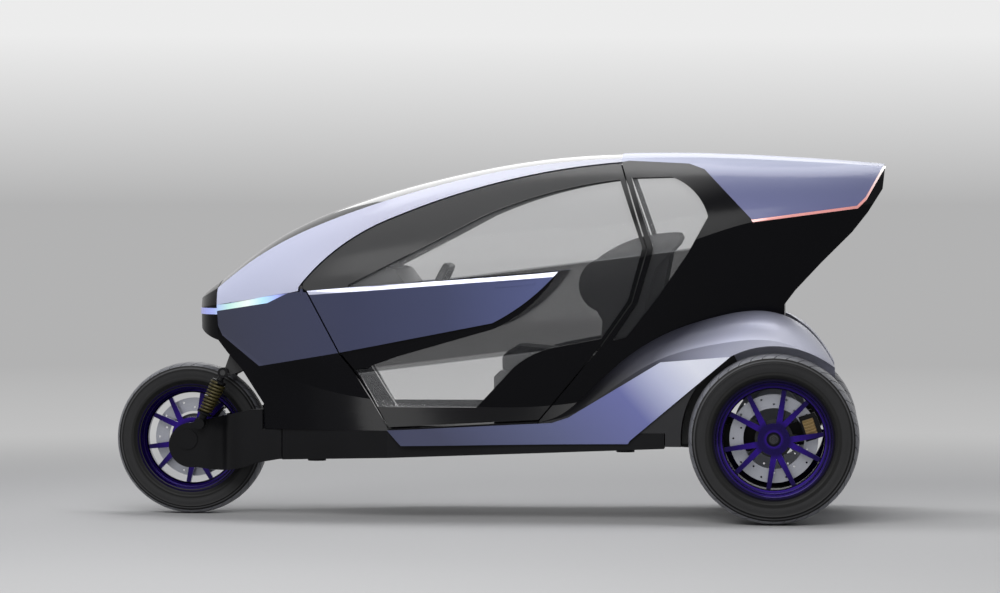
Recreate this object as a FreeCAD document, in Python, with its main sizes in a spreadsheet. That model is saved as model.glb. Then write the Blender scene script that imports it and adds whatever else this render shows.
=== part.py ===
"""Enclosed three-wheeled electric microcar, in millimetres.

The nose points along -X, +Z is up and the car's left side is -Y. The origin is on
the ground under the middle of the car's length. One hub-steered front wheel stands
between two fixed swing arms, and two rear wheels stand under flared haunches.
"""
import FreeCAD
import Part
import Sketcher
import math
import os
import re
from FreeCAD import Placement, Rotation, Vector

doc = FreeCAD.newDocument("microcar")
sheet = doc.addObject("Spreadsheet::Sheet", "sizes")

# Driving dimensions: name, value in mm or degrees, what it is.
DIMENSIONS = [
    ("wheelbase", 2336, "front axle to rear axles"),
    ("tail_overhang", 432, "rear axles to the tail's tip"),
    ("roof_height", 1446, "ground to the highest point of the roof"),
    ("belt_half_width", 434, "centre plane to the belt line at the door"),
    ("panel_thickness", 28, "outer body panels"),
    ("skin_thickness", 12, "door blade and skirt skins"),
    ("door_depth", 46, "whole door, from its outer skin's inner face"),
    ("glass_thickness", 6, "side and quarter glass"),
    ("glass_inset", 18, "outer body surface to the side glass"),
    ("shut_gap", 6, "gap round each door"),
    ("seat_gap", 0.3, "gap between pieces that are fixed together"),
    ("hinge_radius", 7, "knuckles of the door hinges"),
    ("hinge_pin_radius", 3, "pins of the door hinges"),
    ("front_tyre_radius", 304, "front tyre, outer"),
    ("front_tyre_width", 150, "front tyre"),
    ("front_rim_radius", 222, "front rim, outer edge of its flange"),
    ("rear_tyre_radius", 332, "rear tyres, outer"),
    ("rear_tyre_width", 205, "rear tyres"),
    ("rear_rim_radius", 236, "rear rims, outer edge of the flange"),
    ("rear_half_track", 440, "centre plane to the middle of a rear tyre"),
    ("rim_wall", 7, "rim barrel wall"),
    ("rim_flange_height", 16, "rim flange over the bead seat"),
    ("spoke_pairs", 5, "pairs of spokes in each rim"),
    ("spoke_inset", 60, "wheel's outer face to its spokes"),
    ("spoke_depth", 26, "spokes, along the axle"),
    ("spoke_root_width", 24, "spoke at the hub"),
    ("spoke_tip_width", 17, "spoke at the rim"),
    ("front_hub_radius", 82, "front hub ring, outer"),
    ("front_hub_bore", 62, "front hub ring's bore"),
    ("rear_hub_radius", 62, "rear hub, outer"),
    ("rear_stub_radius", 22, "rear stub axles"),
    ("running_gap", 0.4, "radial gap of a bearing"),
    ("front_disc_radius", 158, "front brake disc"),
    ("rear_disc_radius", 172, "rear brake discs"),
    ("disc_ring", 54, "width of a disc's braking ring"),
    ("disc_thickness", 6, "brake discs"),
    ("disc_spokes", 5, "spokes that carry a disc's braking ring"),
    ("disc_hole_radius", 4, "holes in the braking rings"),
    ("disc_holes", 20, "holes in a disc, per row"),
    ("caliper_gap", 5, "disc to caliper"),
    ("axle_radius", 17, "fixed front axle"),
    ("kingpin_radius", 12, "kingpin in the front hub"),
    ("arm_thickness", 34, "front swing arm plates"),
    ("arm_hub_offset", 122, "centre plane to a front arm's inner face at the hub"),
    ("arm_root_offset", 212, "centre plane to a front arm's inner face at the chassis"),
    ("floor_height", 352, "ground to the chassis tray's top"),
    ("tray_wall", 24, "chassis tray's top wall"),
    ("floor_thickness", 18, "cabin floor"),
    ("arch_gap", 28, "rear tyre to wheel arch"),
    ("lamp_height", 25, "front lamp strip"),
    ("tail_lamp_height", 10, "tail lamp strip"),
    ("yoke_width", 320, "steering yoke, over its grips"),
    ("yoke_height", 190, "steering yoke, top bar to bottom bar"),
    ("yoke_grip", 30, "thickness of the yoke's grips"),
    ("spring_radius", 34, "front springs, outer, at the top"),
    ("spring_foot_radius", 27, "front springs, outer, at the bottom"),
    ("spring_coils", 8, "coils of each front spring"),
    ("jack_pad_radius", 36, "jacking pads under the tray"),
    ("tow_bore_radius", 11, "bore of the rear towing eye"),
]
for row, (name, value, note) in enumerate(DIMENSIONS, start=1):
    sheet.set(f"A{row}", name)
    sheet.set(f"B{row}", str(value))
    sheet.set(f"C{row}", note)
    sheet.setAlias(f"B{row}", name)
# Places that follow from the sizes.
DERIVED = [
    ("front_axle_x", "=front_tyre_radius - (front_tyre_radius + wheelbase + tail_overhang) / 2"),
    ("rear_axle_x", "=front_tyre_radius - (front_tyre_radius + wheelbase + tail_overhang) / 2 + wheelbase"),
]
for row, (name, formula) in enumerate(DERIVED, start=len(DIMENSIONS) + 1):
    sheet.set(f"A{row}", name)
    sheet.set(f"B{row}", formula)
    sheet.setAlias(f"B{row}", name)
doc.recompute()


def size(name):
    """A cell of the sheet, as a plain number."""
    return float(sheet.get(name))


# The body is drawn at the design sizes, and along(), out() and up() carry a drawn
# place to the sheet's sizes: ahead of the doors it follows the front axle, behind them
# the rear axle, and above the floor the roof's height.
DRAWN_FRONT_AXLE, DRAWN_REAR_AXLE = -1232, 1104
DRAWN_ROOF, DRAWN_BELT_HALF_WIDTH, DRAWN_FLOOR = 1446, 434, 352
STRETCH_FROM, STRETCH_TO = -300, 150
FRONT_SHIFT = size("front_axle_x") - DRAWN_FRONT_AXLE
REAR_SHIFT = size("rear_axle_x") - DRAWN_REAR_AXLE
LEFT, RIGHT = -1, 1


def along(x):
    share = min(1.0, max(0.0, (x - STRETCH_FROM) / (STRETCH_TO - STRETCH_FROM)))
    return x + FRONT_SHIFT + share * (REAR_SHIFT - FRONT_SHIFT)


def out(y):
    return y * size("belt_half_width") / DRAWN_BELT_HALF_WIDTH


def up(z):
    if z <= DRAWN_FLOOR:
        return z + size("floor_height") - DRAWN_FLOOR
    rise = (size("roof_height") - size("floor_height")) / (DRAWN_ROOF - DRAWN_FLOOR)
    return size("floor_height") + (z - DRAWN_FLOOR) * rise


# Body sections from nose to tail. Columns: x; height of the crown; half width and
# height of the band edge (windscreen to side), of the belt, of the waist and of the
# low edge; bulge of the upper side.
SECTIONS = [
    (-1106, 938, 172, 908, 205, 842, 172, 745, 150, 630, 10),
    (-900, 1094, 208, 1058, 302, 876, 250, 600, 240, 352, 24),
    (-600, 1236, 218, 1196, 376, 912, 312, 495, 332, 352, 40),
    (-200, 1352, 214, 1320, 418, 941, 342, 452, 390, 352, 50),
    (200, 1424, 206, 1398, 434, 972, 352, 450, 398, 352, 54),
    (600, 1446, 204, 1424, 430, 1036, 350, 540, 380, 380, 50),
    (960, 1440, 214, 1420, 400, 1156, 322, 760, 290, 590, 36),
    (1250, 1424, 224, 1406, 364, 1211, 296, 950, 250, 800, 22),
    (1426, 1411, 228, 1396, 334, 1234, 292, 1060, 240, 960, 15),
    (1560, 1398, 226, 1386, 306, 1250, 290, 1140, 240, 1060, 12),
]
COLUMNS = ("x", "top_z", "band_y", "band_z", "belt_y", "belt_z", "waist_y", "waist_z",
           "low_y", "low_z", "bulge")
SECTIONS = [dict(zip(COLUMNS, values)) for values in SECTIONS]
for section in SECTIONS:
    section["x"] = along(section["x"])
    for column in COLUMNS[1:]:
        section[column] = up(section[column]) if column.endswith("_z") else out(section[column])


def key_point(section, key, inset):
    """A key point of a section's right half, moved inwards by inset."""
    y, z = section[key + "_y"], section[key + "_z"]
    if key == "band":
        return y - 0.55 * inset, z - 0.83 * inset
    return y - inset, z


def side_edges(section, keys, side, inset):
    """Edges along one side of a section, through the named key points in order."""
    edges = []
    x = section["x"]
    for first, second in zip(keys, keys[1:]):
        (y0, z0), (y1, z1) = (key_point(section, key, inset) for key in (first, second))
        start, end = Vector(x, side * y0, z0), Vector(x, side * y1, z1)
        if {first, second} == {"belt", "band"}:
            lean = math.atan2(abs(z1 - z0), abs(y1 - y0))
            middle = Vector(x, side * ((y0 + y1) / 2 + section["bulge"] * math.sin(lean)),
                            (z0 + z1) / 2 + section["bulge"] * math.cos(lean))
            edges.append(Part.Arc(start, middle, end).toShape())
        else:
            edges.append(Part.LineSegment(start, end).toShape())
    return edges


def crown_edge(section, side, inset):
    """The roof's arc from one band edge over the middle to the other."""
    y, z = key_point(section, "band", inset)
    x = section["x"]
    return Part.Arc(Vector(x, side * y, z), Vector(x, 0, section["top_z"] - inset),
                    Vector(x, -side * y, z)).toShape()


def section_path(section, keys, side, inset, over_roof):
    edges = side_edges(section, keys, side, inset)
    if over_roof:
        edges.append(crown_edge(section, side, inset))
        edges += side_edges(section, keys[::-1], -side, inset)
    return edges


def path_ends(edges):
    wire = Part.Wire(edges)
    return wire.OrderedVertexes[0].Point, wire.OrderedVertexes[-1].Point


def strip(keys, outer, inner, side=LEFT, over_roof=False, first=0, last=None):
    """A wall lofted along the body, between two insets, following the named key points."""
    wires = []
    for section in SECTIONS[first:last]:
        outside = section_path(section, keys, side, outer, over_roof)
        inside = section_path(section, keys, side, inner, over_roof)
        (a, b), (c, d) = path_ends(outside), path_ends(inside)
        bridge = [Part.LineSegment(b, d).toShape()]
        back = [edge for edge in inside[::-1]]
        close = [Part.LineSegment(c, a).toShape()]
        wires.append(Part.Wire(outside + bridge + back + close))
    return Part.makeLoft(wires, True, False)


def body_fill(inset, first=0, last=None):
    """The whole body as a solid, moved inwards by inset."""
    wires = []
    for section in SECTIONS[first:last]:
        edges = section_path(section, ("low", "waist", "belt", "band"), LEFT, inset, True)
        a, b = path_ends(edges)
        wires.append(Part.Wire(edges + [Part.LineSegment(b, a).toShape()]))
    return Part.makeLoft(wires, True, False)


def outline_wire(corners):
    """A closed side outline in the XZ plane. A corner is (x, z), and (x, z, "via") is
    the middle point of an arc between its neighbours."""
    points = [(Vector(along(c[0]), 0, up(c[1])), len(c) > 2) for c in corners]
    edges, i = [], 0
    while i < len(points):
        start = points[i][0]
        following, is_via = points[(i + 1) % len(points)]
        if is_via:
            end = points[(i + 2) % len(points)][0]
            edges.append(Part.Arc(start, following, end).toShape())
            i += 2
        else:
            edges.append(Part.LineSegment(start, following).toShape())
            i += 1
    return Part.Wire(edges)


WIDE = 700  # beyond every half width of the car


def prism(corners, y_from=-WIDE, y_to=WIDE, grow=0.0):
    """A side outline as a solid between two y planes, its outline grown by grow."""
    wire = outline_wire(corners)
    if grow:
        wire = wire.makeOffset2D(grow)
    face = Part.Face(wire)
    face.translate(Vector(0, y_from, 0))
    return face.extrude(Vector(0, y_to - y_from, 0))


def box(x0, x1, y0, y1, z0, z1):
    return Part.makeBox(x1 - x0, y1 - y0, z1 - z0, Vector(x0, y0, z0))


def mirrored(shape):
    return shape.mirror(Vector(0, 0, 0), Vector(0, 1, 0))


def biggest(shape):
    """The largest solid of a boolean's result."""
    return max(shape.Solids, key=lambda solid: solid.Volume)


def keep(label, shape):
    """Stores a worked-out shape as a sub-part of the document."""
    feature = doc.addObject("Part::Feature", label)
    feature.Label = label
    feature.Shape = shape
    SUBPARTS.append(feature)
    return feature


SUBPARTS = []
panel = size("panel_thickness")
skin = size("skin_thickness")
seat_gap = size("seat_gap")
shut_gap = size("shut_gap")

# Side outlines, drawn from the car's left side. Upper edge of the door and glass:
WINDOW_ARCS = [(-762, 916), (-610, 1067, "via"), (-394, 1189), (34, 1331, "via"), (504, 1407)]
DOOR_REAR = [(614, 1068), (608, 1040), (554, 856), (438, 692), (188, 392)]
DOOR_FRONT = [(-406, 360), (-550, 588), (-606, 656), (-730, 893)]
DOOR = WINDOW_ARCS + DOOR_REAR + DOOR_FRONT
BLADE = [(-762, 899), (-730, 893), (-606, 656), (6, 776), (130, 852, "via"), (266, 978), (140, 1100),
         (-700, 1100)]
ARROW = [(-780, 896), (-780, 560), (-500, 596), (-394, 636), (10, 752), (150, 840, "via"), (266, 974),
         (-390, 923)]
GLASS = [(-560, 925), (-234, 1090, "via"), (-34, 1195), (240, 1290, "via"), (500, 1338), (594, 1070),
         (536, 864), (432, 716), (244, 680), (160, 650, "via"), (86, 600), (-60, 444), (-450, 444),
         (-516, 560), (-590, 650)]
RAIL = [(-1106, 842), (-800, 892), (-764, 900)] + WINDOW_ARCS + [(504, 1600), (-1106, 1600)]
WING = [(-1106, 842), (-1106, 760), (-1088, 720), (-932, 600), (-606, 656), (-730, 893), (-764, 900)]
LAMP = [(-1106, 842), (-1106, 817), (-890, 851), (-838, 876), (-800, 892)]
COWL = [(-1106, 760), (-1106, 700), (-1066, 652), (-1006, 588), (-914, 452), (-914, 352), (-406, 352),
        (-406, 360), (-550, 588), (-606, 656), (-932, 600), (-1088, 720)]
NOSE_CLOSER = [(-1106, 700), (-1066, 652), (-1006, 588), (-914, 452), (-914, 352), (-894, 352),
               (-894, 458), (-988, 600), (-1050, 668), (-1106, 728)]
DECK = [(504, 1600), (504, 1407), (534, 1412), (770, 1400), (830, 1378), (1018, 1180), (1424, 1234),
        (1458, 1268), (1524, 1384), (1536, 1398), (1536, 1600)]
QUARTER_GLASS = [(544, 1344), (700, 1348), (782, 1300, "via"), (848, 1192), (770, 1050), (654, 880),
                 (530, 722), (474, 706), (574, 856), (632, 1046), (634, 1070)]
HANDLE = [(21, 912), (176, 926), (176, 948), (21, 934)]
TAIL_EDGE = [(1536, 1398), (1524, 1300), (1466, 1208), (1406, 1132), (1286, 1012), (1186, 905),
             (1144, 850), (1144, 560)]
REAR_QUARTER = ([(504, 1407)] + DOOR_REAR + [(188, 352), (720, 352), (720, 560)] + TAIL_EDGE[::-1]
                + DECK[2:-2][::-1])


def offset_line(points, x_by, z_by):
    return [(x + x_by, z + z_by) for x, z in points]


def panel_wall(outline, keys, outer, inner, cutters=()):
    """A left body panel: a strip of the body's wall within a side outline, less its cutters."""
    wall = strip(keys, outer, inner).common(prism(outline))
    for cutter in cutters:
        wall = wall.cut(cutter)
    return biggest(wall)


def keep_pair(label, shape):
    """A left shape and its mirror image as one sub-part of two solids."""
    keep(label, Part.makeCompound([shape, mirrored(shape)]))


UPPER = ("belt", "band")
LOWER = ("low", "waist", "belt")
WHOLE = ("low", "waist", "belt", "band")


def hinge_cylinder(radius, z0, z1):
    """A cylinder on the left door's upright hinge axis."""
    return Part.makeCylinder(radius, up(z1) - up(z0), Vector(along(-750), -out(341), up(z0)))


def cab_panels():
    keep_pair("cant_rails", panel_wall(RAIL, UPPER, 0, panel))
    wing = panel_wall(WING, LOWER, 0, panel, cutters=[prism(LAMP, grow=seat_gap)])
    knuckle, pin = hinge_cylinder(size("hinge_radius"), 884, 907), hinge_cylinder(
        size("hinge_pin_radius"), 900, 920)
    keep_pair("front_wings", biggest(wing.fuse([knuckle, pin])))
    # Windscreen: the crown between the two band edges.
    screen = strip((("band"),), 2, 10, over_roof=True)
    header, nose_end = along(504) - seat_gap, along(-1106) + seat_gap
    screen = screen.common(box(nose_end, header, -WIDE, WIDE, 0, 2000))
    keep("windscreen", biggest(screen))


def lamp_and_nose():
    rows = [
        # x, crown, band y, band z, belt y, belt z, chin y, chin z
        (-1106, 938, 172, 908, 205, 842, 160, 700),
        (-1152, 906, 118, 884, 152, 835, 118, 718),
        (-1188, 872, 46, 866, 66, 828, 52, 746),
    ]

    def nose(inset):
        wires = []
        for x, top, band_y, band_z, belt_y, belt_z, chin_y, chin_z in rows:
            x, top, band_z, belt_z, chin_z = along(x), up(top), up(band_z), up(belt_z), up(chin_z)
            if x < along(-1106) - 1:
                x += inset
            points = [Vector(x, -out(chin_y) + inset, chin_z), Vector(x, -out(belt_y) + inset, belt_z),
                      Vector(x, -out(band_y) + 0.6 * inset, band_z - 0.8 * inset)]
            points += [Vector(p.x, -p.y, p.z) for p in points[::-1]]
            crown = Part.Arc(points[2], Vector(x, 0, top - inset), points[3]).toShape()
            edges = [Part.LineSegment(points[0], points[1]).toShape(),
                     Part.LineSegment(points[1], points[2]).toShape(), crown,
                     Part.LineSegment(points[3], points[4]).toShape(),
                     Part.LineSegment(points[4], points[5]).toShape(),
                     Part.LineSegment(points[5], points[0]).toShape()]
            wires.append(Part.Wire(edges))
        return Part.makeLoft(wires, True, False)

    lamp_depth = 12
    x0, x1 = along(-1200), along(-1106)
    slab = box(x0, x1, -WIDE, WIDE, up(803), up(803) + size("lamp_height"))
    recess = slab.cut(nose(lamp_depth + seat_gap))
    keep("nose_cap", biggest(nose(0).cut(recess)))
    front = biggest(nose(-3).common(slab).cut(nose(lamp_depth)))
    side = biggest(strip(("waist", "belt"), -3, lamp_depth).common(prism(LAMP)))
    keep("headlamp_strip", front.fuse([side, mirrored(side)]).removeSplitter())


def lower_front():
    side = biggest(strip(LOWER, 0, panel).common(prism(COWL)))
    keep_pair("lower_cowl", side)


def tail():
    depth = panel
    deck = strip(UPPER, 0, depth, over_roof=True, first=3).common(prism(DECK))
    lamp_line = [(1014, 1184), (1018, 1180), (1424, 1234), (1458, 1268), (1524, 1384), (1534, 1397)]
    lamp = lamp_line + offset_line(lamp_line[::-1], 4, -size("tail_lamp_height"))
    deck = deck.cut(prism(lamp, grow=seat_gap))
    keep("tail_deck", biggest(deck))
    lamp_shape = biggest(strip(WHOLE, -2, 12, first=5).common(prism(lamp)))
    keep_pair("tail_lamp_strip", lamp_shape)
    arch = wheel_arch_cutter(LEFT)
    opening = prism(QUARTER_GLASS)
    quarter = panel_wall(REAR_QUARTER, WHOLE, 0, panel,
                         cutters=[opening, arch, prism(lamp, grow=seat_gap)])
    keep("rear_quarter_left", quarter)
    keep("rear_quarter_right", mirrored(quarter))
    pane = strip(WHOLE, size("glass_inset") - 8, size("glass_inset") - 8 + size("glass_thickness"))
    pane = biggest(pane.common(prism(QUARTER_GLASS, grow=-seat_gap)))
    keep_pair("quarter_glass", pane)
    closer = [(x, z) for x, z in TAIL_EDGE]
    inner = offset_line(TAIL_EDGE[::-1], -24, 10)
    closed = biggest(body_fill(panel + seat_gap).common(prism(closer + inner)))
    keep("tail_panel", closed)
    return quarter


def wheel_arch_cutter(side):
    radius = size("rear_tyre_radius") + size("arch_gap")
    inner = size("rear_half_track") - size("rear_tyre_width") / 2 - 12
    start = Vector(size("rear_axle_x"), side * inner, size("rear_tyre_radius"))
    return Part.makeCylinder(radius, WIDE, start, Vector(0, side, 0))


# Haunch and sill sections. Columns: x; half width; height of the outer face's top;
# half width and height where the shoulder meets the body.
POD = [
    (-406, 394, 356, 300, 358),
    (190, 408, 388, 300, 390),
    (306, 416, 418, 305, 440),
    (486, 442, 532, 300, 610),
    (666, 466, 640, 290, 730),
    (886, 478, 700, 280, 800),
    (1104, 480, 712, 270, 812),
    (1250, 474, 650, 250, 730),
    (1340, 458, 545, 240, 600),
]


def pod_point(row, inset):
    x, half_width, face_top, root_y, root_z = row
    return along(x), out(half_width) - inset, up(face_top), out(root_y), up(root_z)


def haunches(quarter):
    bottom = 300
    wires = []
    for row in POD[1:]:
        x, y, z, root_y, root_z = pod_point(row, 0)
        corner = Vector(x, -y, z)
        root = Vector(x, -root_y, root_z)
        middle = Vector(x, -(root_y + 0.72 * (y - root_y)), z + 0.72 * (root_z - z))
        low_out, low_in = Vector(x, -y, up(bottom)), Vector(x, -root_y, up(bottom))
        wires.append(Part.Wire([
            Part.LineSegment(low_out, corner).toShape(), Part.Arc(corner, middle, root).toShape(),
            Part.LineSegment(root, low_in).toShape(), Part.LineSegment(low_in, low_out).toShape()]))
    pod = Part.makeLoft(wires, True, False)
    pod = pod.cut(body_fill(-seat_gap)).cut(quarter)
    pod = pod.cut(wheel_arch_cutter(LEFT))
    pod = pod.cut(box(along(-500), along(684), -WIDE, WIDE, 0, size("floor_height") + seat_gap))
    arm_side = size("rear_half_track") - size("rear_tyre_width") / 2
    pod = pod.cut(box(along(640), along(1500), -arm_side, 0, 0, size("rear_tyre_radius") + 228))
    pod = biggest(pod)
    keep("haunch_left", pod)
    keep("haunch_right", mirrored(pod))
    return pod


def beside_pod(nearer, farther, low, rows=POD[:7], high=None):
    """A wall along the left sill and haunch, between two distances from their outer face."""
    wires = []
    for row in rows:
        x, y, z, _, _ = pod_point(row, 0)
        top = z if high is None else high
        wires.append(Part.makePolygon([
            Vector(x, -y - farther, low), Vector(x, -y - farther, top), Vector(x, -y - nearer, top),
            Vector(x, -y - nearer, low), Vector(x, -y - farther, low)]))
    return Part.makeLoft(wires, True, False)


def skirts(haunch):
    skirt = beside_pod(seat_gap, skin, up(280))
    outline = [(-406, 356), (240, 388), (306, 410), (666, 628), (936, 650), (546, 322), (540, 310),
               (-350, 296)]
    skirt = biggest(skirt.common(prism(outline)).cut(haunch))
    keep("side_skirt_left", skirt)
    keep("side_skirt_right", mirrored(skirt))


def cylinder_y(radius, x, z, y0, y1):
    return Part.makeCylinder(radius, abs(y1 - y0), Vector(x, min(y0, y1), z), Vector(0, 1, 0))


def rod(radius, start, end):
    way = end - start
    return Part.makeCylinder(radius, way.Length, start, way)


def rounded(shape, radius, chosen):
    """The shape with the edges rounded whose bounding box is chosen."""
    edges = [edge for edge in shape.Edges if chosen(edge.BoundBox)]
    return shape.makeFillet(radius, edges)


def rounded_plate(length, width, thickness, corner):
    """A flat plate round the origin, with upright corners rounded."""
    plate = box(-length / 2, length / 2, -width / 2, width / 2, -thickness / 2, thickness / 2)
    return rounded(plate, corner, lambda bounds: abs(bounds.DiagonalLength - bounds.ZLength) < 0.1
                   and bounds.ZLength > thickness - 0.1)


def chassis():
    floor_z = size("floor_height")
    front = along(-912)
    side = [(-912, 228), (248, 272), (680, 292), (680, 352), (-912, 352)]
    beam = prism(side)
    inner = size("arm_root_offset") - seat_gap
    plan = [(front, inner), (along(-838), inner), (along(-838), out(250)), (along(-406), out(394)),
            (along(190), out(408)), (along(306), out(416)), (along(486), out(442)),
            (along(666), out(466)), (along(680), out(466))]
    points = [Vector(x, y, 0) for x, y in plan] + [Vector(x, -y, 0) for x, y in plan[::-1]]
    beam = beam.common(Part.Face(Part.makePolygon(points + points[:1])).extrude(Vector(0, 0, 600)))
    outside = beside_pod(0, 300, 0, high=1000)
    beam = beam.cut(outside).cut(mirrored(outside))
    # Sills under the doors.
    for y_side in (LEFT, RIGHT):
        edge = [(-400, 351), (-400, 360), (184, 391), (184, 351)]
        beam = beam.fuse(prism(edge, *sorted((y_side * out(354), y_side * out(389)))))
    bay = box(along(-520), along(200), -290, 290, floor_z - size("tray_wall") - 42, floor_z + 40)
    beam = beam.cut(bay)
    for x in (-700, 520):
        for y_side in (LEFT, RIGHT):
            low = 240 if x < 0 else 279
            pad = Part.makeCylinder(size("jack_pad_radius"), 24, Vector(along(x), y_side * 250,
                                                                        up(low) - 12))
            beam = beam.fuse(pad)
    keep("chassis_tray", beam.removeSplitter())
    keep("battery_pack", box(along(-520) + 2, along(200) - 2, -288, 288,
                             floor_z - size("tray_wall") - 42, floor_z))
    floor_top = floor_z + size("floor_thickness")
    ahead = box(along(-893.5), along(300), -WIDE, WIDE, floor_z, floor_top)
    ahead = ahead.common(body_fill(size("door_depth") + shut_gap + 2))
    behind = box(along(200), along(664), -out(288), out(288), floor_z, floor_top)
    outline = [(664, 354), (684, 354), (744, 560), (1119, 785), (1119, 815), (730, 586), (664, 400)]
    slope = biggest(prism(outline).common(body_fill(panel + seat_gap)))
    keep("floor_pan", biggest(ahead.fuse([behind, slope]).removeSplitter()))


def front_suspension():
    axle_x, axle_z = size("front_axle_x"), size("front_tyre_radius")
    at_hub, at_root = size("arm_hub_offset"), size("arm_root_offset")
    thick = size("arm_thickness")
    side = [(axle_x + 14, axle_z + 66), (axle_x - 74, axle_z - 8, "via"), (axle_x + 34, axle_z - 110),
            (axle_x + 170, axle_z - 118, "via"), (along(-946), up(216)), (along(-842), up(234)),
            (along(-842), up(350)), (along(-918), up(350)), (along(-918), up(430)),
            (along(-966), up(427))]
    plate = Part.Face(outline_at(side)).extrude(Vector(0, 400, 0))
    bend, spread = axle_x + 158, (at_root - at_hub) / 2
    plan = [(axle_x - 120, 0), (axle_x + 68, 0), (axle_x + 118, 0.2 * spread, "via"), (bend, spread),
            (bend + 40, 1.8 * spread, "via"), (axle_x + 248, 2 * spread), (along(-842), 2 * spread)]
    outer = [(x, y + thick, *via) for x, y, *via in plan[::-1]]
    band = outline_at([(x, y + at_hub, *via) for x, y, *via in plan + outer])
    band.rotate(Vector(0, 0, 0), Vector(1, 0, 0), -90)
    arm = plate.common(Part.Face(band).extrude(Vector(0, 0, 900)))
    eye_x, eye_z = axle_x + 54, axle_z + 64
    reach = at_hub + thick
    arm = arm.fuse(cylinder_y(27, eye_x, eye_z, at_hub + 12, reach + 7))
    arm = arm.fuse(cylinder_y(40, axle_x, axle_z, reach - 6, reach + 8))
    arm = biggest(arm)
    keep("front_arms", Part.makeCompound([mirrored(arm), arm]))
    axle = cylinder_y(size("axle_radius"), axle_x, axle_z, -at_hub, at_hub)
    pin = Part.makeCylinder(size("kingpin_radius"), 94, Vector(axle_x, 0, axle_z - 47))
    block = box(axle_x - 22, axle_x + 22, -20, 20, axle_z - 22, axle_z + 22)
    keep("front_axle", axle.fuse([pin, block]).removeSplitter())

    top_x, top_z = along(-1082), up(572)
    spring_y = reach + 7 + seat_gap + 26
    closer = body_fill(panel + 2.5 * seat_gap).common(prism(NOSE_CLOSER))
    pieces = [biggest(closer)]
    for y_side in (LEFT, RIGHT):
        ends = sorted((y_side * 118, y_side * 134))
        pieces.append(prism([(-1094, 560), (-1066, 556), (-1000, 588), (-998, 600), (-1060, 655)], *ends))
        pieces.append(cylinder_y(11, top_x, top_z, y_side * 118, y_side * (spring_y + 22)))
    keep("front_bulkhead", pieces[0].fuse(pieces[1:]).removeSplitter())

    springs = []
    top_radius, foot_radius = size("spring_radius"), size("spring_foot_radius")
    for y_side in (LEFT, RIGHT):
        low = Vector(eye_x, y_side * spring_y, eye_z)
        high = Vector(top_x, y_side * spring_y, top_z)
        way = high - low
        length = way.Length
        # Profile of the stacked coils, drawn as radius over height, then turned upright.
        coils = int(size("spring_coils"))
        start, stop = 44.0, length - 36.0
        pitch = (stop - start) / coils
        profile = [Vector(0, 0, start - 8), Vector(foot_radius - 3, 0, start - 8)]
        for i in range(coils):
            radius = foot_radius + (top_radius - foot_radius) * (i + 0.5) / coils
            profile += [Vector(radius, 0, start + pitch * (i + 0.35)),
                        Vector(radius, 0, start + pitch * (i + 0.65)),
                        Vector(radius - 9, 0, start + pitch * (i + 1))]
        profile += [Vector(top_radius - 3, 0, stop + 8), Vector(0, 0, stop + 8)]
        face = Part.Face(Part.makePolygon(profile + profile[:1]))
        coil = face.revolve(Vector(0, 0, 0), Vector(0, 0, 1), 360)
        core = Part.makeCylinder(13, length - 20, Vector(0, 0, 10))
        unit = coil.fuse(core)
        unit.Placement = Placement(low, Rotation(Vector(0, 0, 1), way))
        eyes = cylinder_y(21, low.x, low.z, low.y - 26, low.y + 26)
        top = cylinder_y(21, high.x, high.z, high.y - 20, high.y + 20)
        unit = unit.fuse([eyes, top])
        unit = unit.cut(cylinder_y(11 + seat_gap, top_x, top_z, y_side * 132, y_side * (spring_y + 40)))
        springs.append(biggest(unit))
    keep("front_springs", Part.makeCompound(springs))


def outline_at(corners):
    """A closed outline in the XZ plane from car places, corners as in outline_wire."""
    points = [(Vector(c[0], 0, c[1]), len(c) > 2) for c in corners]
    edges, i = [], 0
    while i < len(points):
        start = points[i][0]
        following, is_via = points[(i + 1) % len(points)]
        if is_via:
            end = points[(i + 2) % len(points)][0]
            edges.append(Part.Arc(start, following, end).toShape())
            i += 2
        else:
            edges.append(Part.LineSegment(start, following).toShape())
            i += 1
    return Part.Wire(edges)


def hub_carrier():
    axle_x, axle_z = size("front_axle_x"), size("front_tyre_radius")
    outer = size("front_hub_bore") - size("running_gap")
    inner = outer - 11.6
    ring = cylinder_y(outer, 0, 0, -45, 54)
    flange = cylinder_y(outer + 12, 0, 0, 46, 54)
    bosses = Part.makeCylinder(20, 2 * outer - 2, Vector(0, 0, -outer + 1))
    body = ring.cut(cylinder_y(inner, 0, 0, -60, 70))
    flange = flange.cut(cylinder_y(inner, 0, 0, -60, 70))
    bosses = bosses.common(cylinder_y(outer - 2, 0, 0, -30, 30))
    bosses = bosses.cut(box(-40, 40, -40, 40, -30, 30))
    body = body.fuse([flange, bosses]).cut(
        Part.makeCylinder(size("kingpin_radius") + size("running_gap"), 300, Vector(0, 0, -150)))
    disc = size("front_disc_radius")
    bracket = box(-24, 24, 46, 54, outer - 6, disc - 10)
    block = box(-44, 44, 18, 58, disc - size("disc_ring") - 2, disc + 12)
    y0 = 34 - size("caliper_gap")
    slot = box(-60, 60, y0, 34 + size("disc_thickness") + size("caliper_gap"), 0,
               disc + size("caliper_gap"))
    block = block.cut(slot).common(cylinder_y(disc + 14, 0, 0, 0, 80))
    for piece in (bracket, block):
        piece.rotate(Vector(0, 0, 0), Vector(0, 1, 0), 30)
    whole = body.fuse([bracket, block]).removeSplitter()
    whole.translate(Vector(axle_x, 0, axle_z))
    keep("hub_carrier", whole)


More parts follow.
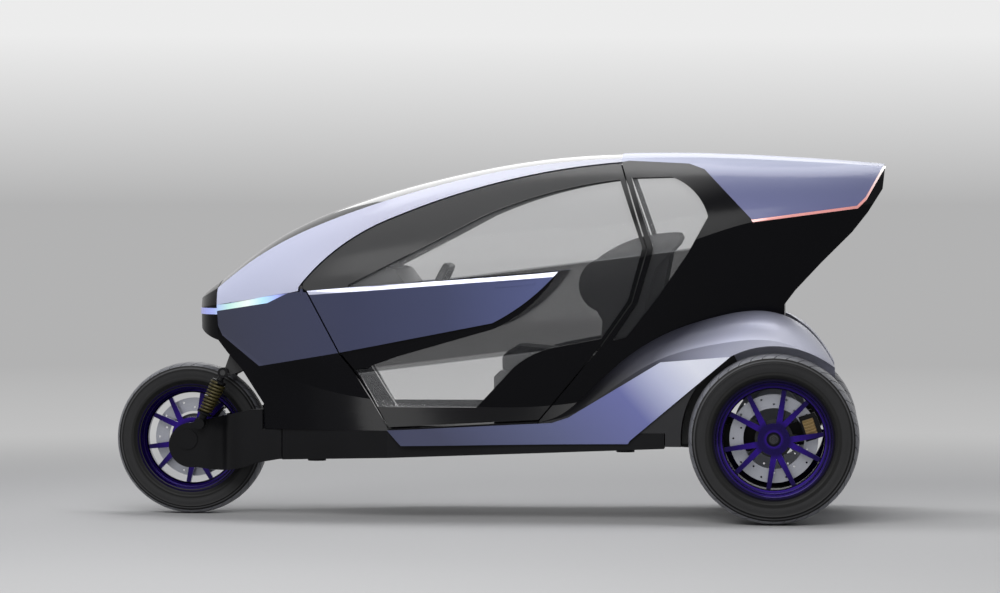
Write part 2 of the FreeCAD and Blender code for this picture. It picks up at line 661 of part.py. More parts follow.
def rear_suspension():
    axle_x, axle_z = size("rear_axle_x"), size("rear_tyre_radius")
    half_track, width = size("rear_half_track"), size("rear_tyre_width")
    inner_face = half_track - width / 2
    arm_out, arm_in = inner_face - 10, inner_face - 46
    disc_face = half_track + width / 2 - 116  # outer face of the brake disc
    stub_end = half_track + width / 2 - size("spoke_inset") - 4
    caliper_turn = 72
    cross = box(along(680), along(680) + 52, -arm_in, arm_in, up(298), up(350))
    cradle = box(axle_x - 96, axle_x + 88, -arm_in, arm_in, axle_z - 46, axle_z - 24)
    solids = [cross]
    disc, ring = size("rear_disc_radius"), size("disc_ring")
    gap, thick = size("caliper_gap"), size("disc_thickness")
    arm_side = [(along(680), up(296)), (along(680), up(352)), (axle_x - 60, axle_z + 62),
                (axle_x + 60, axle_z + 62), (axle_x + 72, axle_z, "via"), (axle_x + 40, axle_z - 62),
                (axle_x - 60, axle_z - 58)]
    for y_side in (LEFT, RIGHT):
        pieces = []
        arm = Part.Face(outline_at(arm_side))
        arm.translate(Vector(0, min(y_side * arm_in, y_side * arm_out), 0))
        pieces.append(arm.extrude(Vector(0, arm_out - arm_in, 0)))
        pieces.append(cylinder_y(size("rear_stub_radius"), axle_x, axle_z, y_side * arm_in,
                                 y_side * stub_end))
        block = box(-50, 50, *sorted((y_side * (disc_face - thick - gap - 12),
                                      y_side * (disc_face + gap + 10))), disc - ring - 2, disc + 14)
        slot = box(-60, 60, *sorted((y_side * (disc_face - thick - gap), y_side * (disc_face + gap))),
                   0, disc + gap)
        block = block.cut(slot).common(cylinder_y(disc + 15, 0, 0, -900, 900))
        leg = box(-30, 30, *sorted((y_side * (arm_out - 8), y_side * (disc_face - thick - gap - 8))),
                  disc - ring + 2, disc - 12)
        foot = box(-30, 30, *sorted((y_side * (arm_in + 8), y_side * arm_out)), 40, disc - 12)
        clamp = block.fuse([leg, foot])
        clamp.rotate(Vector(0, 0, 0), Vector(0, 1, 0), caliper_turn)
        clamp.translate(Vector(axle_x, 0, axle_z))
        pieces.append(clamp)
        solids.append(biggest(pieces[0].fuse(pieces[1:]).removeSplitter()))
    eye_x = axle_x + 110
    lug = box(axle_x + 80, eye_x, -28, 28, axle_z - 46, axle_z - 24)
    lug = lug.fuse(Part.makeCylinder(28, 22, Vector(eye_x, 0, axle_z - 46)))
    lug = lug.cut(Part.makeCylinder(size("tow_bore_radius"), 100, Vector(eye_x, 0, axle_z - 90)))
    solids.append(biggest(cradle.fuse(lug).removeSplitter()))
    keep("rear_subframe", Part.makeCompound(solids))
    motor = cylinder_y(118, axle_x + 4, axle_z + 98 + seat_gap, -200, 200)
    motor = motor.fuse(cylinder_y(92, axle_x + 4, axle_z + 98 + seat_gap, -250, 250))
    saddle = box(axle_x - 80, axle_x + 76, -180, 180, axle_z - 24, axle_z + 60)
    keep("drive_unit", motor.fuse(saddle).removeSplitter())


def seats():
    floor_top = size("floor_height") + size("floor_thickness")
    half_width = 225
    base = [(0, 354), (0, 560), (24, 584), (430, 552), (512, 610), (560, 760), (664, 1100), (706, 1100),
            (640, 760), (604, 354)]
    hollow = [(60, 300), (60, 520), (420, 490), (560, 560), (570, 300)]
    # Side wings wrap the back, and give it the shape seen through the doors.
    wing = [(418, 600), (426, 726), (430, 782), (407, 822), (338, 906, "via"), (407, 1024),
            (500, 1082, "via"), (690, 1128), (724, 1128), (738, 1108), (724, 1080), (640, 990),
            (600, 860), (590, 600)]
    near, far = half_width + seat_gap, half_width + 34
    wings = [prism(wing, -far, -near), prism(wing, near, far)]
    shell = prism(base, -half_width, half_width).cut(prism(hollow, -190, 190))
    shell = biggest(shell.cut(box(-900, 900, -400, 400, 0, floor_top)))
    keep("seat_shell", Part.makeCompound([shell] + wings))
    between = half_width - 20
    cushion = prism([(16, 586), (16, 640), (40, 664), (420, 630), (442, 610), (432, 553)], -between, between)
    back = prism([(505, 640), (440, 660), (470, 780), (580, 1080), (600, 1108), (640, 1122), (668, 1100),
                  (560, 762), (524, 652)], -between, between)
    keep("seat_pads", Part.makeCompound([biggest(cushion.cut(shell)),
                                         biggest(back.cut(shell).cut(cushion))]))


def cockpit():
    dash = [(-860, 700), (-860, 880), (-660, 930), (-560, 996), (-470, 1010), (-380, 985), (-340, 930),
            (-360, 850), (-470, 780), (-620, 700)]
    dash_shape = prism(dash)
    ahead = dash_shape.common(body_fill(panel + seat_gap)).common(
        box(along(-1100), along(-772), -WIDE, WIDE, 0, 2000))
    beside_doors = dash_shape.common(body_fill(size("door_depth") + 8))
    floor_top = size("floor_height") + size("floor_thickness")
    leg = box(along(-850), along(-640), -55, 55, floor_top, up(720))
    dash_shape = ahead.fuse([beside_doors, leg]).removeSplitter()
    keep("dashboard", biggest(dash_shape))
    centre = Vector(along(-236), 0, up(918))
    grip, width, height = size("yoke_grip"), size("yoke_width"), size("yoke_height")
    # The yoke is drawn flat, with its top along +X, and then tilted towards the driver.
    frame = rounded_plate(height, width, grip, 62).cut(rounded_plate(height - 2 * grip,
                                                                      width - 2 * grip, 2 * grip, 34))
    frame = rounded(frame, 9, lambda bounds: bounds.ZLength < 1)
    spokes = box(-14, 14, 14 - width / 2, width / 2 - 14, -8, 8)
    boss = Part.makeBox(84, 96, 34, Vector(-42, -48, -17))
    yoke = frame.fuse([spokes, boss])
    yoke.Placement = Placement(centre, Rotation(Vector(0, 1, 0), -64))
    column = rod(20, centre, Vector(along(-400), 0, up(860)))
    keep("steering_wheel", biggest(yoke.fuse(column).cut(dash_shape)))


def belt_bevel(drop, inset):
    """What a bevel along the belt takes off: drop down the side, inset across the top."""
    wires = []
    for section in SECTIONS[1:-1]:
        (y0, z0), (y1, z1) = (key_point(section, key, 0) for key in ("waist", "belt"))
        share = drop / math.hypot(y1 - y0, z1 - z0)
        low = Vector(section["x"], -(y1 + share * (y0 - y1)), z1 + share * (z0 - z1))
        corners = [low, Vector(section["x"], -(y1 + 10), z1 - 2), Vector(section["x"], -(y1 + 10), z1 + 4),
                   Vector(section["x"], -(y1 - inset), z1 + 4), Vector(section["x"], -(y1 - inset), z1)]
        wires.append(Part.makePolygon(corners + corners[:1]))
    return Part.makeLoft(wires, True, False)


def doors():
    opening = prism(DOOR, grow=-shut_gap).common(
        box(along(-744), along(700), -WIDE, WIDE, 0, 2000))
    depth = size("door_depth")
    glazed = prism(GLASS)
    arrow = prism(ARROW)
    upper = strip(UPPER, 4, depth).common(opening)
    lower = strip(LOWER, skin + seat_gap, depth).common(opening)
    frame_shape = biggest(upper.fuse(lower).cut(glazed.cut(arrow)))
    leaf = box(along(-750), along(-736), -out(341), -out(341) + 16, up(908.5), up(921))
    knuckle = hinge_cylinder(size("hinge_radius"), 908.5, 921).fuse(leaf)
    frame_shape = frame_shape.fuse(knuckle).cut(
        hinge_cylinder(size("hinge_pin_radius") + seat_gap, 890, 940))
    blade = biggest(strip(("waist", "belt"), 0, skin).common(prism(BLADE)).common(opening))
    flap = prism(HANDLE, grow=-2)
    groove = strip(("waist", "belt"), -1, 2).common(prism(HANDLE).cut(flap))
    above = strip(UPPER, -1, depth)
    above.translate(Vector(0, 0, -3 * seat_gap))
    blade = biggest(blade.cut(belt_bevel(18, 7)).cut([groove, above]))
    inset = size("glass_inset")
    pane = strip(WHOLE, inset, inset + size("glass_thickness"))
    pane = pane.common(prism(GLASS, grow=-seat_gap)).cut(prism(ARROW, grow=seat_gap))
    pane = biggest(pane)
    for name, shape in (("frame", frame_shape), ("blade", blade), ("glass", pane)):
        keep(f"door_{name}_left", shape)
        keep(f"door_{name}_right", mirrored(shape))


def measured(formula):
    """A formula of the sheet's names, worked out in a spare cell."""
    sheet.set("E1", "=" + formula)
    sheet.recompute()
    return float(sheet.get("E1"))


def bound(formula):
    """The same formula as an object outside the sheet must write it."""
    return re.sub(r"[a-z][a-z_]+", lambda word: "sizes." + word.group(), formula)


def profile_sketch(body, name, plane_role, corners):
    """A closed sketch whose corners follow two formulas each."""
    sketch = body.newObject("Sketcher::SketchObject", name)
    plane = next(item for item in body.Origin.OriginFeatures if item.Role == plane_role)
    sketch.AttachmentSupport = [(plane, "")]
    sketch.MapMode = "FlatFace"
    places = [Vector(measured(u), measured(v), 0) for u, v in corners]
    count = len(places)
    for i in range(count):
        sketch.addGeometry(Part.LineSegment(places[i], places[(i + 1) % count]), False)
    for i in range(count):
        sketch.addConstraint(Sketcher.Constraint("Coincident", i, 2, (i + 1) % count, 1))
    for i, (u, v) in enumerate(corners):
        for kind, formula, value in (("DistanceX", u, places[i].x), ("DistanceY", v, places[i].y)):
            index = sketch.addConstraint(Sketcher.Constraint(kind, -1, 1, i, 1, value))
            sketch.setExpression(f"Constraints[{index}]", bound(formula))
    return sketch


def revolved_body(label, corners):
    body = doc.addObject("PartDesign::Body", label)
    body.Label = label
    sketch = profile_sketch(body, label + "_profile", "XY_Plane", corners)
    turn = body.newObject("PartDesign::Revolution", label + "_turn")
    turn.Profile = sketch
    turn.ReferenceAxis = (sketch, ["V_Axis"])
    turn.Angle = 360
    body.Tip = turn
    return body


def rim_corners(kind):
    """Half section of a rim: radius, and depth from the wheel's outer face."""
    edge = f"{kind}_rim_radius"
    seat = f"{edge} - rim_flange_height"
    well = f"{seat} - 18"
    width = f"{kind}_tyre_width"
    return [
        (edge, "12"), (edge, "18"), (seat, "22"), (seat, "46"), (well, "58"),
        (well, f"{width} - 58"), (seat, f"{width} - 46"), (seat, f"{width} - 22"),
        (edge, f"{width} - 18"), (edge, f"{width} - 12"),
        (f"{edge} - 9", f"{width} - 12"), (f"{seat} - rim_wall", f"{width} - 24"),
        (f"{seat} - rim_wall", f"{width} - 44"), (f"{well} - rim_wall", f"{width} - 56"),
        (f"{well} - rim_wall", "60"), (f"{seat} - rim_wall", "48"), (f"{seat} - rim_wall", "24"),
        (f"{edge} - 9", "12"),
    ]


def tyre_corners(kind):
    outer, edge, width = f"{kind}_tyre_radius", f"{kind}_rim_radius", f"{kind}_tyre_width"
    seat = f"{edge} - rim_flange_height + seat_gap"
    rise = f"({outer} - {edge})"
    return [
        (seat, "22 + 2 * seat_gap"), (f"{edge} + seat_gap", "18 + seat_gap"),
        (f"{edge} + seat_gap", "12"), (f"{edge} + 5", "8"),
        (f"{edge} + {rise} * 0.22", "3"), (f"{edge} + {rise} * 0.42", "0.1"),
        (f"{edge} + {rise} * 0.66", "3"), (f"{outer} - 14", "10"), (f"{outer} - 5", "20"),
        (f"{outer} - 1", "38"), (outer, f"{width} / 2"), (f"{outer} - 1", f"{width} - 38"),
        (f"{outer} - 5", f"{width} - 20"), (f"{outer} - 14", f"{width} - 10"),
        (f"{edge} + {rise} * 0.66", f"{width} - 3"), (f"{edge} + {rise} * 0.42", f"{width} - 0.1"),
        (f"{edge} + {rise} * 0.22", f"{width} - 3"), (f"{edge} + 5", f"{width} - 8"),
        (f"{edge} + seat_gap", f"{width} - 12"), (f"{edge} + seat_gap", f"{width} - 18 - seat_gap"),
        (seat, f"{width} - 22 - 2 * seat_gap"),
    ]


def repeated_round(body, name, features, formula):
    """A body's features repeated round its axle, as many times as the formula says."""
    pattern = body.newObject("PartDesign::PolarPattern", name)
    pattern.Originals = features
    axis = next(item for item in body.Origin.OriginFeatures if item.Role == "Y_Axis")
    pattern.Axis = (axis, [""])
    pattern.Angle = 360
    body.Tip = pattern
    doc.recompute()
    pattern.setExpression("Occurrences", formula)


def spoked_rim(label, kind, hub_radius, hub_bore, hub_from, hub_to):
    body = revolved_body(label, rim_corners(kind))
    hub = profile_sketch(body, label + "_hub", "XY_Plane", [
        (hub_bore, hub_from), (hub_radius, hub_from), (hub_radius, hub_to), (hub_bore, hub_to)])
    turn = body.newObject("PartDesign::Revolution", label + "_hub_turn")
    turn.Profile = hub
    turn.ReferenceAxis = (hub, ["V_Axis"])
    turn.Angle = 360
    body.Tip = turn
    # Two spokes of a pair, drawn in the wheel's plane and padded along the axle.
    tip_radius = f"({kind}_rim_radius - rim_flange_height - 18 - rim_wall + 3)"
    pads, first_pair = [], -9
    for number, lean in enumerate((-1, 1)):
        near, far = math.radians(first_pair + 7 * lean), math.radians(first_pair + 15 * lean)
        cos_n, sin_n = math.cos(near), math.sin(near)
        cos_f, sin_f = math.cos(far), math.sin(far)
        way = math.atan2(sin_f * 0.9 - sin_n * 0.35, cos_f * 0.9 - cos_n * 0.35)
        across = (-math.sin(way), math.cos(way))
        corners = []
        for radius, c, s, half in ((f"({hub_radius} - 4)", cos_n, sin_n, "spoke_root_width"),
                                   (tip_radius, cos_f, sin_f, "spoke_tip_width")):
            for sign in (1, -1):
                corners.append((f"{radius} * {c:.5f} + {sign * across[0] / 2:.5f} * {half}",
                                f"{radius} * {s:.5f} + {sign * across[1] / 2:.5f} * {half}"))
        corners = [corners[0], corners[1], corners[3], corners[2]]
        sketch = profile_sketch(body, f"{label}_spoke_{number}", "XZ_Plane", corners)
        pad = body.newObject("PartDesign::Pad", f"{label}_spoke_pad_{number}")
        pad.Profile = sketch
        pad.setExpression("Length", "sizes.spoke_depth")
        pad.Reversed = True
        sketch.AttachmentOffset = Placement(Vector(0, 0, -size("spoke_inset")), Rotation())
        body.Tip = pad
        pads.append(pad)
    repeated_round(body, label + "_pattern", pads, "sizes.spoke_pairs")
    return body


def brake_disc(label, kind, hub_radius, face):
    """A disc on its spokes, its braking ring pierced by two rows of holes."""
    outer = f"{kind}_disc_radius"
    ring = f"({outer} - disc_ring)"
    back = f"{face} + disc_thickness"
    bore, collar = f"({hub_radius} + seat_gap)", f"({hub_radius} + 12)"
    body = revolved_body(label, [(bore, face), (collar, face), (collar, back), (bore, back)])
    # A spoke, wider at the hub, repeated round the axle.
    arm = profile_sketch(body, label + "_spoke", "XZ_Plane", [
        (f"{collar} - 4", "-16"), (f"{ring} + 4", "-10"), (f"{ring} + 4", "10"), (f"{collar} - 4", "16")])
    arm.AttachmentOffset = Placement(Vector(0, 0, -measured(face)), Rotation())
    pad = body.newObject("PartDesign::Pad", label + "_spoke_pad")
    pad.Profile = arm
    pad.setExpression("Length", "sizes.disc_thickness")
    pad.Reversed = True
    body.Tip = pad
    repeated_round(body, label + "_spokes", [pad], "sizes.disc_spokes")
    track = profile_sketch(body, label + "_ring", "XY_Plane", [
        (ring, face), (outer, face), (outer, back), (ring, back)])
    turn = body.newObject("PartDesign::Revolution", label + "_ring_turn")
    turn.Profile = track
    turn.ReferenceAxis = (track, ["V_Axis"])
    turn.Angle = 360
    body.Tip = turn
    holes = body.newObject("Sketcher::SketchObject", label + "_holes")
    plane = next(item for item in body.Origin.OriginFeatures if item.Role == "XZ_Plane")
    holes.AttachmentSupport = [(plane, "")]
    holes.MapMode = "FlatFace"
    radius = measured("disc_hole_radius")
    for number, share in enumerate((0.28, 0.72)):
        formula = f"{outer} - disc_ring * {share}"
        angle = math.radians(number * 180 / size("disc_holes") * 2)
        x, z = (measured(formula) * turn for turn in (math.cos(angle), math.sin(angle)))
        index = holes.addGeometry(Part.Circle(Vector(x, z, 0), Vector(0, 0, 1), radius), False)
        for kind, turn, value in (("DistanceX", math.cos(angle), x), ("DistanceY", math.sin(angle), z)):
            if abs(turn) < 1e-6:
                holes.addConstraint(Sketcher.Constraint("PointOnObject", index, 3, -1))
                continue
            constraint = holes.addConstraint(Sketcher.Constraint(kind, -1, 1, index, 3, value))
            holes.setExpression(f"Constraints[{constraint}]", bound(f"({formula}) * {turn:.6f}"))
        constraint = holes.addConstraint(Sketcher.Constraint("Radius", index, radius))
        holes.setExpression(f"Constraints[{constraint}]", "sizes.disc_hole_radius")
    pocket = body.newObject("PartDesign::Pocket", label + "_pierced")
    pocket.Profile = holes
    pocket.Type = "ThroughAll"
    pocket.Midplane = True
    body.Tip = pocket
    repeated_round(body, label + "_pattern", [pocket], "sizes.disc_holes / 2")
    return body


def wheels():
    positions = {
        "front": ("front_axle_x", "front_tyre_radius", "front_hub_radius", "front_hub_bore", "30",
                  "front_tyre_width / 2 + 40", "front_tyre_width / 2 + 34"),
        "rear": ("rear_axle_x", "rear_tyre_radius", "rear_hub_radius",
                 "rear_stub_radius + running_gap", "spoke_inset - 6", "128", "116"),
    }
    for name, kind, y_side in (("front", "front", 0), ("rear_left", "rear", LEFT),
                               ("rear_right", "rear", RIGHT)):
        axle_x, radius, hub, bore, hub_from, hub_to, face = positions[kind]
        rim = spoked_rim(f"rim_{name}", kind, hub, bore, hub_from, hub_to)
        tyre = revolved_body(f"tyre_{name}", tyre_corners(kind))
        disc = brake_disc(f"brake_disc_{name}", kind, hub, face)
        for body in (rim, tyre, disc):
            half = f"sizes.{kind}_tyre_width / 2"
            middle = "0 mm" if not y_side else "sizes.rear_half_track * 1 mm"
            flip = Rotation(Vector(1, 0, 0), 180 if y_side == RIGHT else 0)
            body.Placement = Placement(Vector(0, 0, 0), flip)
            body.setExpression("Placement.Base.x", f"sizes.{axle_x} * 1 mm")
            body.setExpression("Placement.Base.z", f"sizes.{radius} * 1 mm")
            if y_side == RIGHT:
                body.setExpression("Placement.Base.y", f"({half}) * 1 mm + {middle}")
            else:
                body.setExpression("Placement.Base.y", f"-({half}) * 1 mm - {middle}")
            SUBPARTS.append(body)


cab_panels()
lamp_and_nose()
lower_front()
skirts(haunches(tail()))
chassis()
front_suspension()
hub_carrier()
rear_suspension()
seats()
cockpit()
doors()
wheels()

doc.recompute()
os.makedirs("parts", exist_ok=True)
for feature in SUBPARTS:
    if {"Invalid", "Error"} & set(feature.State):
        raise RuntimeError(f"{feature.Label} failed: {feature.State}")
    if feature.Shape.isNull() or not feature.Shape.isValid():
        raise RuntimeError(f"{feature.Label} has no valid shape")
    bounds = feature.Shape.BoundBox
    print(feature.Label, len(feature.Shape.Solids), round(feature.Shape.Volume / 1e6, 3),
          [round(edge) for edge in (bounds.XMin, bounds.XMax, bounds.YMin, bounds.YMax, bounds.ZMin,
                                    bounds.ZMax)])
    feature.Shape.exportStep(f"parts/{feature.Label}.step")
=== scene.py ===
import math
import bmesh
import bpy
from mathutils import Matrix, Vector


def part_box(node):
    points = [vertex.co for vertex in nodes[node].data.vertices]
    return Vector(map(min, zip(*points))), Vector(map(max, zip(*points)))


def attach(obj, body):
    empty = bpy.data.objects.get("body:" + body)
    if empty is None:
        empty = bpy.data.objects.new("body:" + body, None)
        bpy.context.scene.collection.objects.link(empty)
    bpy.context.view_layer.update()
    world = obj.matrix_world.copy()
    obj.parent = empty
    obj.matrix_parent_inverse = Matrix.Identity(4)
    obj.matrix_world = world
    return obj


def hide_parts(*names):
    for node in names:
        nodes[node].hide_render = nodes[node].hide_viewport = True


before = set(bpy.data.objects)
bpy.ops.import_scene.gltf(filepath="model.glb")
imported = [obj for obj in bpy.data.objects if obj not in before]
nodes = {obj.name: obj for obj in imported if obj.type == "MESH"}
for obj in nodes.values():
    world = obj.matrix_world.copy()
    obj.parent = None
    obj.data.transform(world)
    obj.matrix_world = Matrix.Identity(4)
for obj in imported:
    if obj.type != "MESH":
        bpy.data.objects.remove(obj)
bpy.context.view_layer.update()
scene = bpy.context.scene
print("frame loaded:", len(nodes), "nodes")

# The finishes. Colours are linear. "way" is a direction of the car, "from" and "to" are the places
# along it, in metres, that a gradient spans, and "sockets" are the shader's plain numbers. The paints'
# gradients are painted light: painted reflections and highlights over each paint's own tone.
paintFinishes = {
    # Cant rails: paler towards the nose, a painted highlight on the pearl paint.
    "pearlLavender": {
        "stops": [(0.0, (0.62, 0.65, 0.85)), (0.45, (0.46, 0.47, 0.60)), (1.0, (0.36, 0.37, 0.44))],
        "way": (1.0, 0.0, 0.0), "from": -1.1, "to": 0.3, "metallic": 0.10, "roughness": 0.48},
    # Tail deck: a paler band along its top, a painted highlight.
    "deckLavender": {
        "stops": [(0.0, (0.090, 0.100, 0.245)), (0.52, (0.092, 0.102, 0.205)), (0.68, (0.30, 0.32, 0.43)),
                  (1.0, (0.30, 0.32, 0.43))],
        "way": (0.02, 0.0, 1.0), "from": 1.18, "to": 1.54, "metallic": 0.10, "roughness": 0.46},
    # Side skirts: dark low and ahead, near white towards the rear and up, a painted reflection.
    "skirtLavender": {
        "stops": [(0.0, (0.050, 0.056, 0.115)), (0.36, (0.105, 0.121, 0.25)), (0.70, (0.150, 0.166, 0.41)),
                  (0.86, (0.55, 0.58, 0.78)), (1.0, (0.84, 0.86, 0.97))],
        "way": (1.0, 0.0, 0.9), "from": 0.10, "to": 1.34, "metallic": 0.20, "roughness": 0.32},
    # Wings and door blades: lighter towards the rear, a painted reflection on the slate blue paint.
    "slateBlue": {
        "stops": [(0.0, (0.052, 0.056, 0.098)), (0.40, (0.042, 0.049, 0.112)),
                  (0.66, (0.055, 0.066, 0.152)), (1.0, (0.110, 0.132, 0.32))],
        "way": (1.0, 0.0, 0.06), "from": -1.06, "to": 0.34, "metallic": 0.25, "roughness": 0.30},
}
paintCoat = {"weight": 0.20, "roughness": 0.10, "darkFlake": 0.93, "peelScale": 320.0, "peel": 0.04,
             "peelDepth": 0.0004}
flakeScale = 2600.0  # metal flakes are far finer than the slow drift of the coat
grainDepth = 0.0006  # of moulded and rubber surfaces
# A pale line painted on the edge under the side glass, a painted highlight on its bevel, follows the belt
# line: height = level + rise * x.
beltHighlight = {"level": 0.9385, "rise": 0.075, "soft": 0.0015, "colour": (0.70, 0.72, 0.90)}
blackFinishes = {
    "glossBlack": {"colour": (0.0022, 0.0022, 0.0032), "roughness": 0.18, "specular": 0.10},
    "satinBlack": {"colour": (0.0040, 0.0040, 0.0048), "roughness": 0.36, "specular": 0.14},
}
blackCoat = {"drift": 3.0, "darker": 0.8, "lighter": 1.3, "rippleScale": 60.0, "ripple": 0.03,
             "rippleDepth": 0.0004}
# The arch's grey along the roof is a painted highlight on black.
archFinish = {"way": (-0.35, 0.0, 1.0), "from": 0.94, "to": 1.14, "black": (0.0022, 0.0022, 0.0032),
              "highlightGrey": (0.062, 0.062, 0.063), "drift": 3.0, "darkest": 0.9,
              "sockets": {"Roughness": 0.20, "Specular IOR Level": 0.10}}
# The haunches' silver lavender over the rear wheels is a painted reflection on black paint.
haunchFinish = {
    "backWay": (1.0, 0.0, -1.35), "back": (-0.42, 0.14), "high": (0.50, 0.68), "darkFlake": 0.92,
    "stops": [(0.0, (0.004, 0.004, 0.006)), (0.30, (0.035, 0.036, 0.055)), (0.70, (0.33, 0.34, 0.44)),
              (1.0, (0.50, 0.51, 0.61))],
    "sockets": {"Metallic": 0.30, "Roughness": 0.42, "Coat Weight": 0.15, "Coat Roughness": 0.12}}
# Rings and steps of the rims, and bands of the tyres, lie at shares of the piece's radius.
rimFinish = {
    # The "dark" and "deep" tones are painted shade, in the bore, round the hub, in the barrel and in the
    # grooves between the flange's steps; the violet rings between them on the flange stand in for lit steps
    # as painted highlights.
    "dark": (0.0025, 0.0012, 0.012), "deep": (0.011, 0.003, 0.085), "violet": (0.032, 0.006, 0.26),
    "rings": [(0.0, "dark"), (0.115, "dark"), (0.125, "violet"), (0.17, "deep"), (0.25, "deep"),
              (0.34, "violet"), (0.74, "deep"), (0.80, "deep"), (0.835, "dark"), (0.850, "violet"),
              (0.875, "deep"), (0.890, "dark"), (0.905, "violet"), (0.925, "deep"), (0.940, "dark"),
              (0.955, "deep"), (0.975, "dark")],
    "steps": [(0.83, 0.0), (0.845, 1.0), (0.88, 1.0), (0.895, 0.3), (0.91, 0.9), (0.93, 0.9), (0.945, 0.2),
              (0.955, 0.7)],
    "stepBump": 0.6, "stepDepth": 0.004, "darkFlake": 0.85,
    "sockets": {"Metallic": 0.85, "Roughness": 0.20, "Coat Weight": 0.12}}
tyreFinish = {
    "black": (0.003, 0.003, 0.003), "wall": (0.006, 0.006, 0.006), "pale": (0.019, 0.019, 0.020),
    "line": (0.070, 0.070, 0.074),
    # The "pale" band is a painted sheen below the shoulder, and the "line" band a painted highlight on the
    # rim protector.
    "bands": [(0.70, "wall"), (0.775, "wall"), (0.785, "black"), (0.800, "pale"), (0.890, "pale"),
              (0.900, "black"), (0.913, "black"), (0.918, "line"), (0.926, "line"), (0.931, "wall")],
    "wear": 9.0, "worn": 0.80, "grain": 700.0, "roughness": (0.42, 0.56), "bump": 0.25,
    "sockets": {"Specular IOR Level": 0.22}}
mouldedWear = {"scale": 9.0, "darker": 0.85, "lighter": 1.25, "smoother": 0.07, "rougher": 0.09}
mouldedFinishes = {
    "blackPlastic": {"colour": (0.010, 0.010, 0.011), "roughness": 0.50, "grain": 900.0, "bump": 0.25,
                     "metallic": 0.0},
    "castAlloy": {"colour": (0.20, 0.21, 0.23), "roughness": 0.42, "grain": 500.0, "bump": 0.30,
                  "metallic": 0.9},
    # The tread's light grey is a painted reflection on dark rubber.
    "treadRubber": {"colour": (0.150, 0.152, 0.168), "roughness": 0.42, "grain": 700.0, "bump": 0.25,
                    "metallic": 0.0},
    "oliveSpring": {"colour": (0.046, 0.037, 0.010), "roughness": 0.38, "grain": 420.0, "bump": 0.12,
                    "metallic": 0.5},
    "brassCaliper": {"colour": (0.26, 0.185, 0.085), "roughness": 0.34, "grain": 420.0, "bump": 0.15,
                     "metallic": 0.9},
}
turning = {"stretch": (1.0, 30.0, 1.0), "scale": 160.0, "darker": 0.8, "lighter": 1.1, "bump": 0.10,
           "depth": 0.0004}
steelFinishes = {
    "boltSteel": {"colour": (0.42, 0.42, 0.44), "roughness": 0.30},
    "nutSteel": {"colour": (0.055, 0.055, 0.060), "roughness": 0.34},
}
discFinish = {"ring": 0.054, "soft": 0.001, "turning": 900.0, "spokes": (0.006, 0.006, 0.008),
              "steel": [(0.3, (0.30, 0.31, 0.35)), (0.7, (0.44, 0.45, 0.49))], "metallic": 0.8,
              "sockets": {"Roughness": 0.34}}
glassDust = {"scale": 5.0, "detail": 4.0}
screenFinish = {"tint": (0.010, 0.010, 0.013), "dusty": 0.9,
                "sockets": {"Roughness": 0.03, "Alpha": 0.90, "Specular IOR Level": 0.35}}
# The side glass is smoked between two lines that climb towards the tail. Its clear parts carry a faint pale
# colour, a painted sky reflection.
sideGlassFinish = {"top": 0.968, "bottom": 0.640, "rise": 0.125, "soft": 0.003, "clear": 0.07,
                   "smoked": 0.38, "paintedSkyReflection": (0.80, 0.81, 0.83), "tint": (0.030, 0.031, 0.034),
                   "dusty": 0.94,
                   "sockets": {"Roughness": 0.04, "Specular IOR Level": 0.30}}
lampFinishes = {
    "headLamp": {
        "stops": [(0.0, (0.30, 0.31, 0.85)), (0.18, (0.38, 0.45, 0.86)), (0.35, (0.50, 0.78, 0.72)),
                  (0.55, (0.78, 0.88, 0.82)), (0.72, (0.42, 0.72, 0.92)), (0.88, (0.34, 0.40, 0.86)),
                  (1.0, (0.03, 0.03, 0.12))],
        "from": -1.19, "to": -0.80, "strength": 0.45},
    "tailLamp": {
        "stops": [(0.0, (0.80, 0.36, 0.33)), (0.6, (0.72, 0.28, 0.26)), (0.85, (0.62, 0.25, 0.23)),
                  (1.0, (0.80, 0.76, 0.74))],
        "from": 1.01, "to": 1.53, "strength": 0.35},
}
lampSockets = {"Roughness": 0.12, "Coat Weight": 1.0}
fabricFinish = {"colour": (0.010, 0.010, 0.012), "threads": 260.0, "distortion": 1.5, "detail": 2.0,
                "wear": 14.0, "darker": 0.8, "lighter": 1.3, "bump": 0.25, "bumpDepth": 0.0008,
                "sockets": {"Roughness": 0.85, "Sheen Weight": 0.35}}


def newMaterial(name, sockets):
    material = bpy.data.materials.new(name)
    material.use_nodes = True
    tree = material.node_tree
    shader = next(n for n in tree.nodes if n.type == "BSDF_PRINCIPLED")
    for socket, number in sockets.items():
        shader.inputs[socket].default_value = number
    return material, tree, shader, tree.nodes.new("ShaderNodeTexCoord").outputs["Object"]


def noiseOn(tree, coords, scale, detail=3.0, roughness=0.55):
    noise = tree.nodes.new("ShaderNodeTexNoise")
    noise.inputs["Scale"].default_value = scale
    noise.inputs["Detail"].default_value = detail
    noise.inputs["Roughness"].default_value = roughness
    tree.links.new(coords, noise.inputs["Vector"])
    return noise.outputs["Fac"]


def rampOn(tree, value, stops):
    ramp = tree.nodes.new("ShaderNodeValToRGB")
    for i, (place, colour) in enumerate(stops):
        stop = ramp.color_ramp.elements[i] if i < 2 else ramp.color_ramp.elements.new(place)
        stop.position = place
        stop.color = (*colour, 1.0)
    tree.links.new(value, ramp.inputs["Fac"])
    return ramp.outputs["Color"]


def bumpOn(tree, height, strength, distance=0.001):
    bump = tree.nodes.new("ShaderNodeBump")
    bump.inputs["Strength"].default_value = strength
    bump.inputs["Distance"].default_value = distance
    tree.links.new(height, bump.inputs["Height"])
    return bump.outputs["Normal"]


